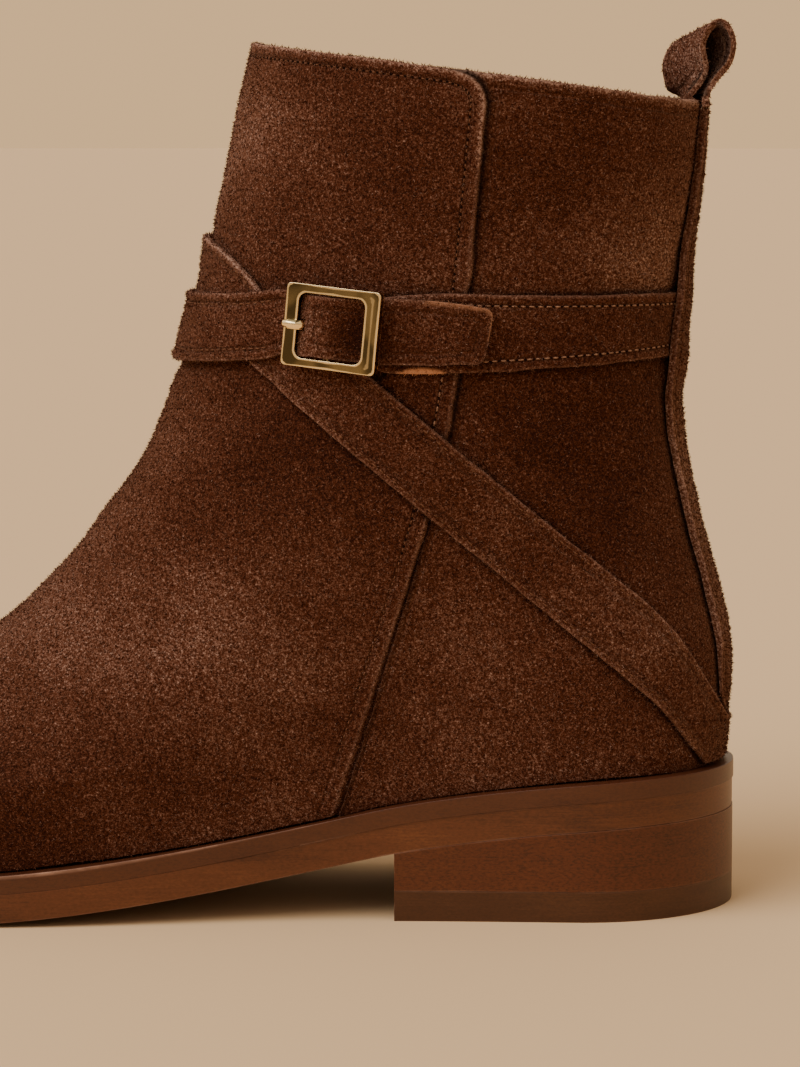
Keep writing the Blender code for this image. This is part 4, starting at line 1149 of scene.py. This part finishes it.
def plated_gold():
    """Polished gold with painted reflections: dark olive tones on its flats, painted highlights on its
    edges and on the rear bar's ridge, and fine scratches.
    """
    material, nodes, links, shader, place = new_material("plated_gold")
    glints = fine_noise(nodes, links, place, 6 * MM, 1)
    flat_reflection = colour_steps(nodes, links, glints, [(0.38, GOLD_DEEP), (0.62, GOLD_OLIVE)])
    rim = kept_value(nodes, "rim")
    # Painted highlight along the edges and along the rear bar's ridge
    edge = grey_steps(nodes, links, rim, [(0.055, 1.0), (0.095, 0.0)])
    ridge = grey_steps(nodes, links, rim, [(0.225, 0.0), (0.27, 0.45)])
    across = nodes.new("ShaderNodeSeparateXYZ")
    links.new(place, across.inputs[0])
    rear = grey_steps(nodes, links, across.outputs["X"], [(REAR_BAR_FROM, 0.0), (REAR_BAR_TO, 1.0)])
    ridge = blended(nodes, links, "MULTIPLY", 1.0, ridge, rear)
    edge = blended(nodes, links, "ADD", 1.0, edge, ridge)
    links.new(blended(nodes, links, "MIX", edge, flat_reflection, GOLD_HIGHLIGHT), shader.inputs["Base Color"])
    scratches = fine_noise(nodes, links, place, 0.3 * MM, 2, (1, 6, 6))
    gloss = nodes.new("ShaderNodeMapRange")
    gloss.inputs["To Min"].default_value = 0.08
    gloss.inputs["To Max"].default_value = 0.2
    links.new(scratches, gloss.inputs["Value"])
    links.new(gloss.outputs["Result"], shader.inputs["Roughness"])
    shader.inputs["Metallic"].default_value = 1.0
    return material


gold = plated_gold()


def cast_piece(node, name, width, levels):
    """One piece of the buckle with its edges broken, and with its gaps to them."""
    piece = copy_of(node, name)
    keep = measure_gaps(piece)
    apply_modifier(
        piece, "BEVEL", width=width, segments=3, limit_method="ANGLE",
        angle_limit=CAST_ANGLE, use_clamp_overlap=True,
    )
    apply_modifier(piece, "SUBSURF", subdivision_type="SIMPLE", levels=levels, render_levels=levels)
    keep()
    work_on(piece)
    bpy.ops.object.shade_smooth_by_angle(angle=SMOOTH_ANGLE)
    piece.data.materials.append(gold)
    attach(piece, "root")
    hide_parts(node)
    return piece


cast_piece("buckle_frame", "gold_frame", width=0.5 * MM, levels=2)
prong = cast_piece("buckle_prong", "gold_prong", width=0.25 * MM, levels=1)

# The prong gets the painted edge highlight all over but for its upper side, which counts as far from an
# edge and keeps the painted dark reflection of the flats
PRONG_DARK_SIDE = Vector((0, -0.75, 0.66))
PRONG_DARK_FROM, PRONG_DARK_TO = 0.80, 0.92
PRONG_DARK = 0.11
prong_gaps = prong.data.attributes["rim"].data
for vertex in prong.data.vertices:
    turned = (vertex.normal.dot(PRONG_DARK_SIDE) - PRONG_DARK_FROM) / (PRONG_DARK_TO - PRONG_DARK_FROM)
    prong_gaps[vertex.index].value = PRONG_DARK * min(max(turned, 0), 1)


# Floor, light and camera. A plain beige floor that runs to the horizon, one broad soft light from the
# front left and a sky that is brightest on that side, with a low glow from the right and from behind.
# The camera stands at the outer side, at the height of the collar.
FLOOR_REACH = 60.0
FLOOR_BEIGE = (0.765, 0.562, 0.352)
HORIZON_BEIGE = (0.895, 0.563, 0.280)
STUDIO_DARK = (0.36, 0.26, 0.16)
SIDE_GLOW = (0.34, 0.265, 0.19)
BACK_GLOW = (0.50, 0.41, 0.31)
bpy.ops.object.select_all(action="DESELECT")
bpy.ops.mesh.primitive_plane_add(size=FLOOR_REACH, location=(0, 0, 0))
floor = bpy.context.object
floor.name = "floor"
paper = bpy.data.materials.new("floor_paper")
paper.use_nodes = True
paper_shader = paper.node_tree.nodes["Principled BSDF"]
paper_shader.inputs["Base Color"].default_value = (*FLOOR_BEIGE, 1)
paper_shader.inputs["Roughness"].default_value = 0.9
paper_shader.inputs["Specular IOR Level"].default_value = 0.1
floor.data.materials.append(paper)

KEY_FROM = Vector((-0.75, -0.62, 0.95)).normalized()
GLOW_FROM = Vector((0.9, -0.3, 0.3)).normalized()
DOME_DARK = (0.28, 0.215, 0.15)
DOME_MIDDLE = (0.55, 0.43, 0.31)
DOME_BRIGHT = (1.0, 0.80, 0.60)
world = bpy.data.worlds.new("soft_sky")
world.use_nodes = True
bpy.context.scene.world = world
sky_nodes, sky_links = world.node_tree.nodes, world.node_tree.links
look = sky_nodes.new("ShaderNodeTexCoord").outputs["Generated"]


def looking_to(direction):
    """How far a look into the sky is turned to a direction, from -1 to 1."""
    dot = sky_nodes.new("ShaderNodeVectorMath")
    dot.operation = "DOT_PRODUCT"
    dot.inputs[1].default_value = direction
    sky_links.new(look, dot.inputs[0])
    return dot.outputs["Value"]


dome = colour_steps(sky_nodes, sky_links, looking_to(KEY_FROM), [
    (0.0, DOME_DARK), (0.45, DOME_MIDDLE), (0.95, DOME_BRIGHT)])
height = sky_nodes.new("ShaderNodeSeparateXYZ")
sky_links.new(look, height.inputs[0])
above = grey_steps(sky_nodes, sky_links, height.outputs["Z"], [(0.06, 0.0), (0.22, 1.0)])
glow = grey_steps(sky_nodes, sky_links, looking_to(GLOW_FROM), [(0.45, 0.0), (0.95, 1.0)])
dome = blended(sky_nodes, sky_links, "ADD", glow, dome, SIDE_GLOW)
behind = grey_steps(sky_nodes, sky_links, height.outputs["Y"], [(0.35, 0.0), (0.9, 1.0)])
dome = blended(sky_nodes, sky_links, "ADD", behind, dome, BACK_GLOW)
horizon = colour_steps(sky_nodes, sky_links, height.outputs["Y"], [
    (0.0, STUDIO_DARK), (0.15, HORIZON_BEIGE)])
sky = blended(sky_nodes, sky_links, "MIX", above, horizon, dome)
sky_links.new(sky, sky_nodes["Background"].inputs["Color"])
sky_nodes["Background"].inputs["Strength"].default_value = 1.0

KEY_POWER = 2.2
KEY_SPREAD = math.radians(50)
KEY_WARM = (1.0, 0.93, 0.84)
bpy.ops.object.light_add(type="SUN", location=KEY_FROM)
key = bpy.context.object
key.name = "key_light"
key.data.energy = KEY_POWER
key.data.angle = KEY_SPREAD
key.data.color = KEY_WARM
key.rotation_euler = KEY_FROM.to_track_quat("Z", "Y").to_euler()

CAMERA_PLACE = (0.13225, -0.7805, 0.1617)
CAMERA_TILT = math.radians(83.8)
CAMERA_TURN = math.radians(5)
PHOTO_WIDE = 800
FOCAL_PIXELS = 3727
SENSOR_WIDE = 36
CAMERA_REACH = 100
bpy.ops.object.camera_add(location=CAMERA_PLACE)
camera = bpy.context.object
camera.name = "camera"
camera.rotation_euler = (CAMERA_TILT, 0, CAMERA_TURN)
camera.data.sensor_fit = "HORIZONTAL"
camera.data.sensor_width = SENSOR_WIDE
camera.data.lens = FOCAL_PIXELS * SENSOR_WIDE / PHOTO_WIDE
camera.data.clip_end = CAMERA_REACH
bpy.context.scene.camera = camera
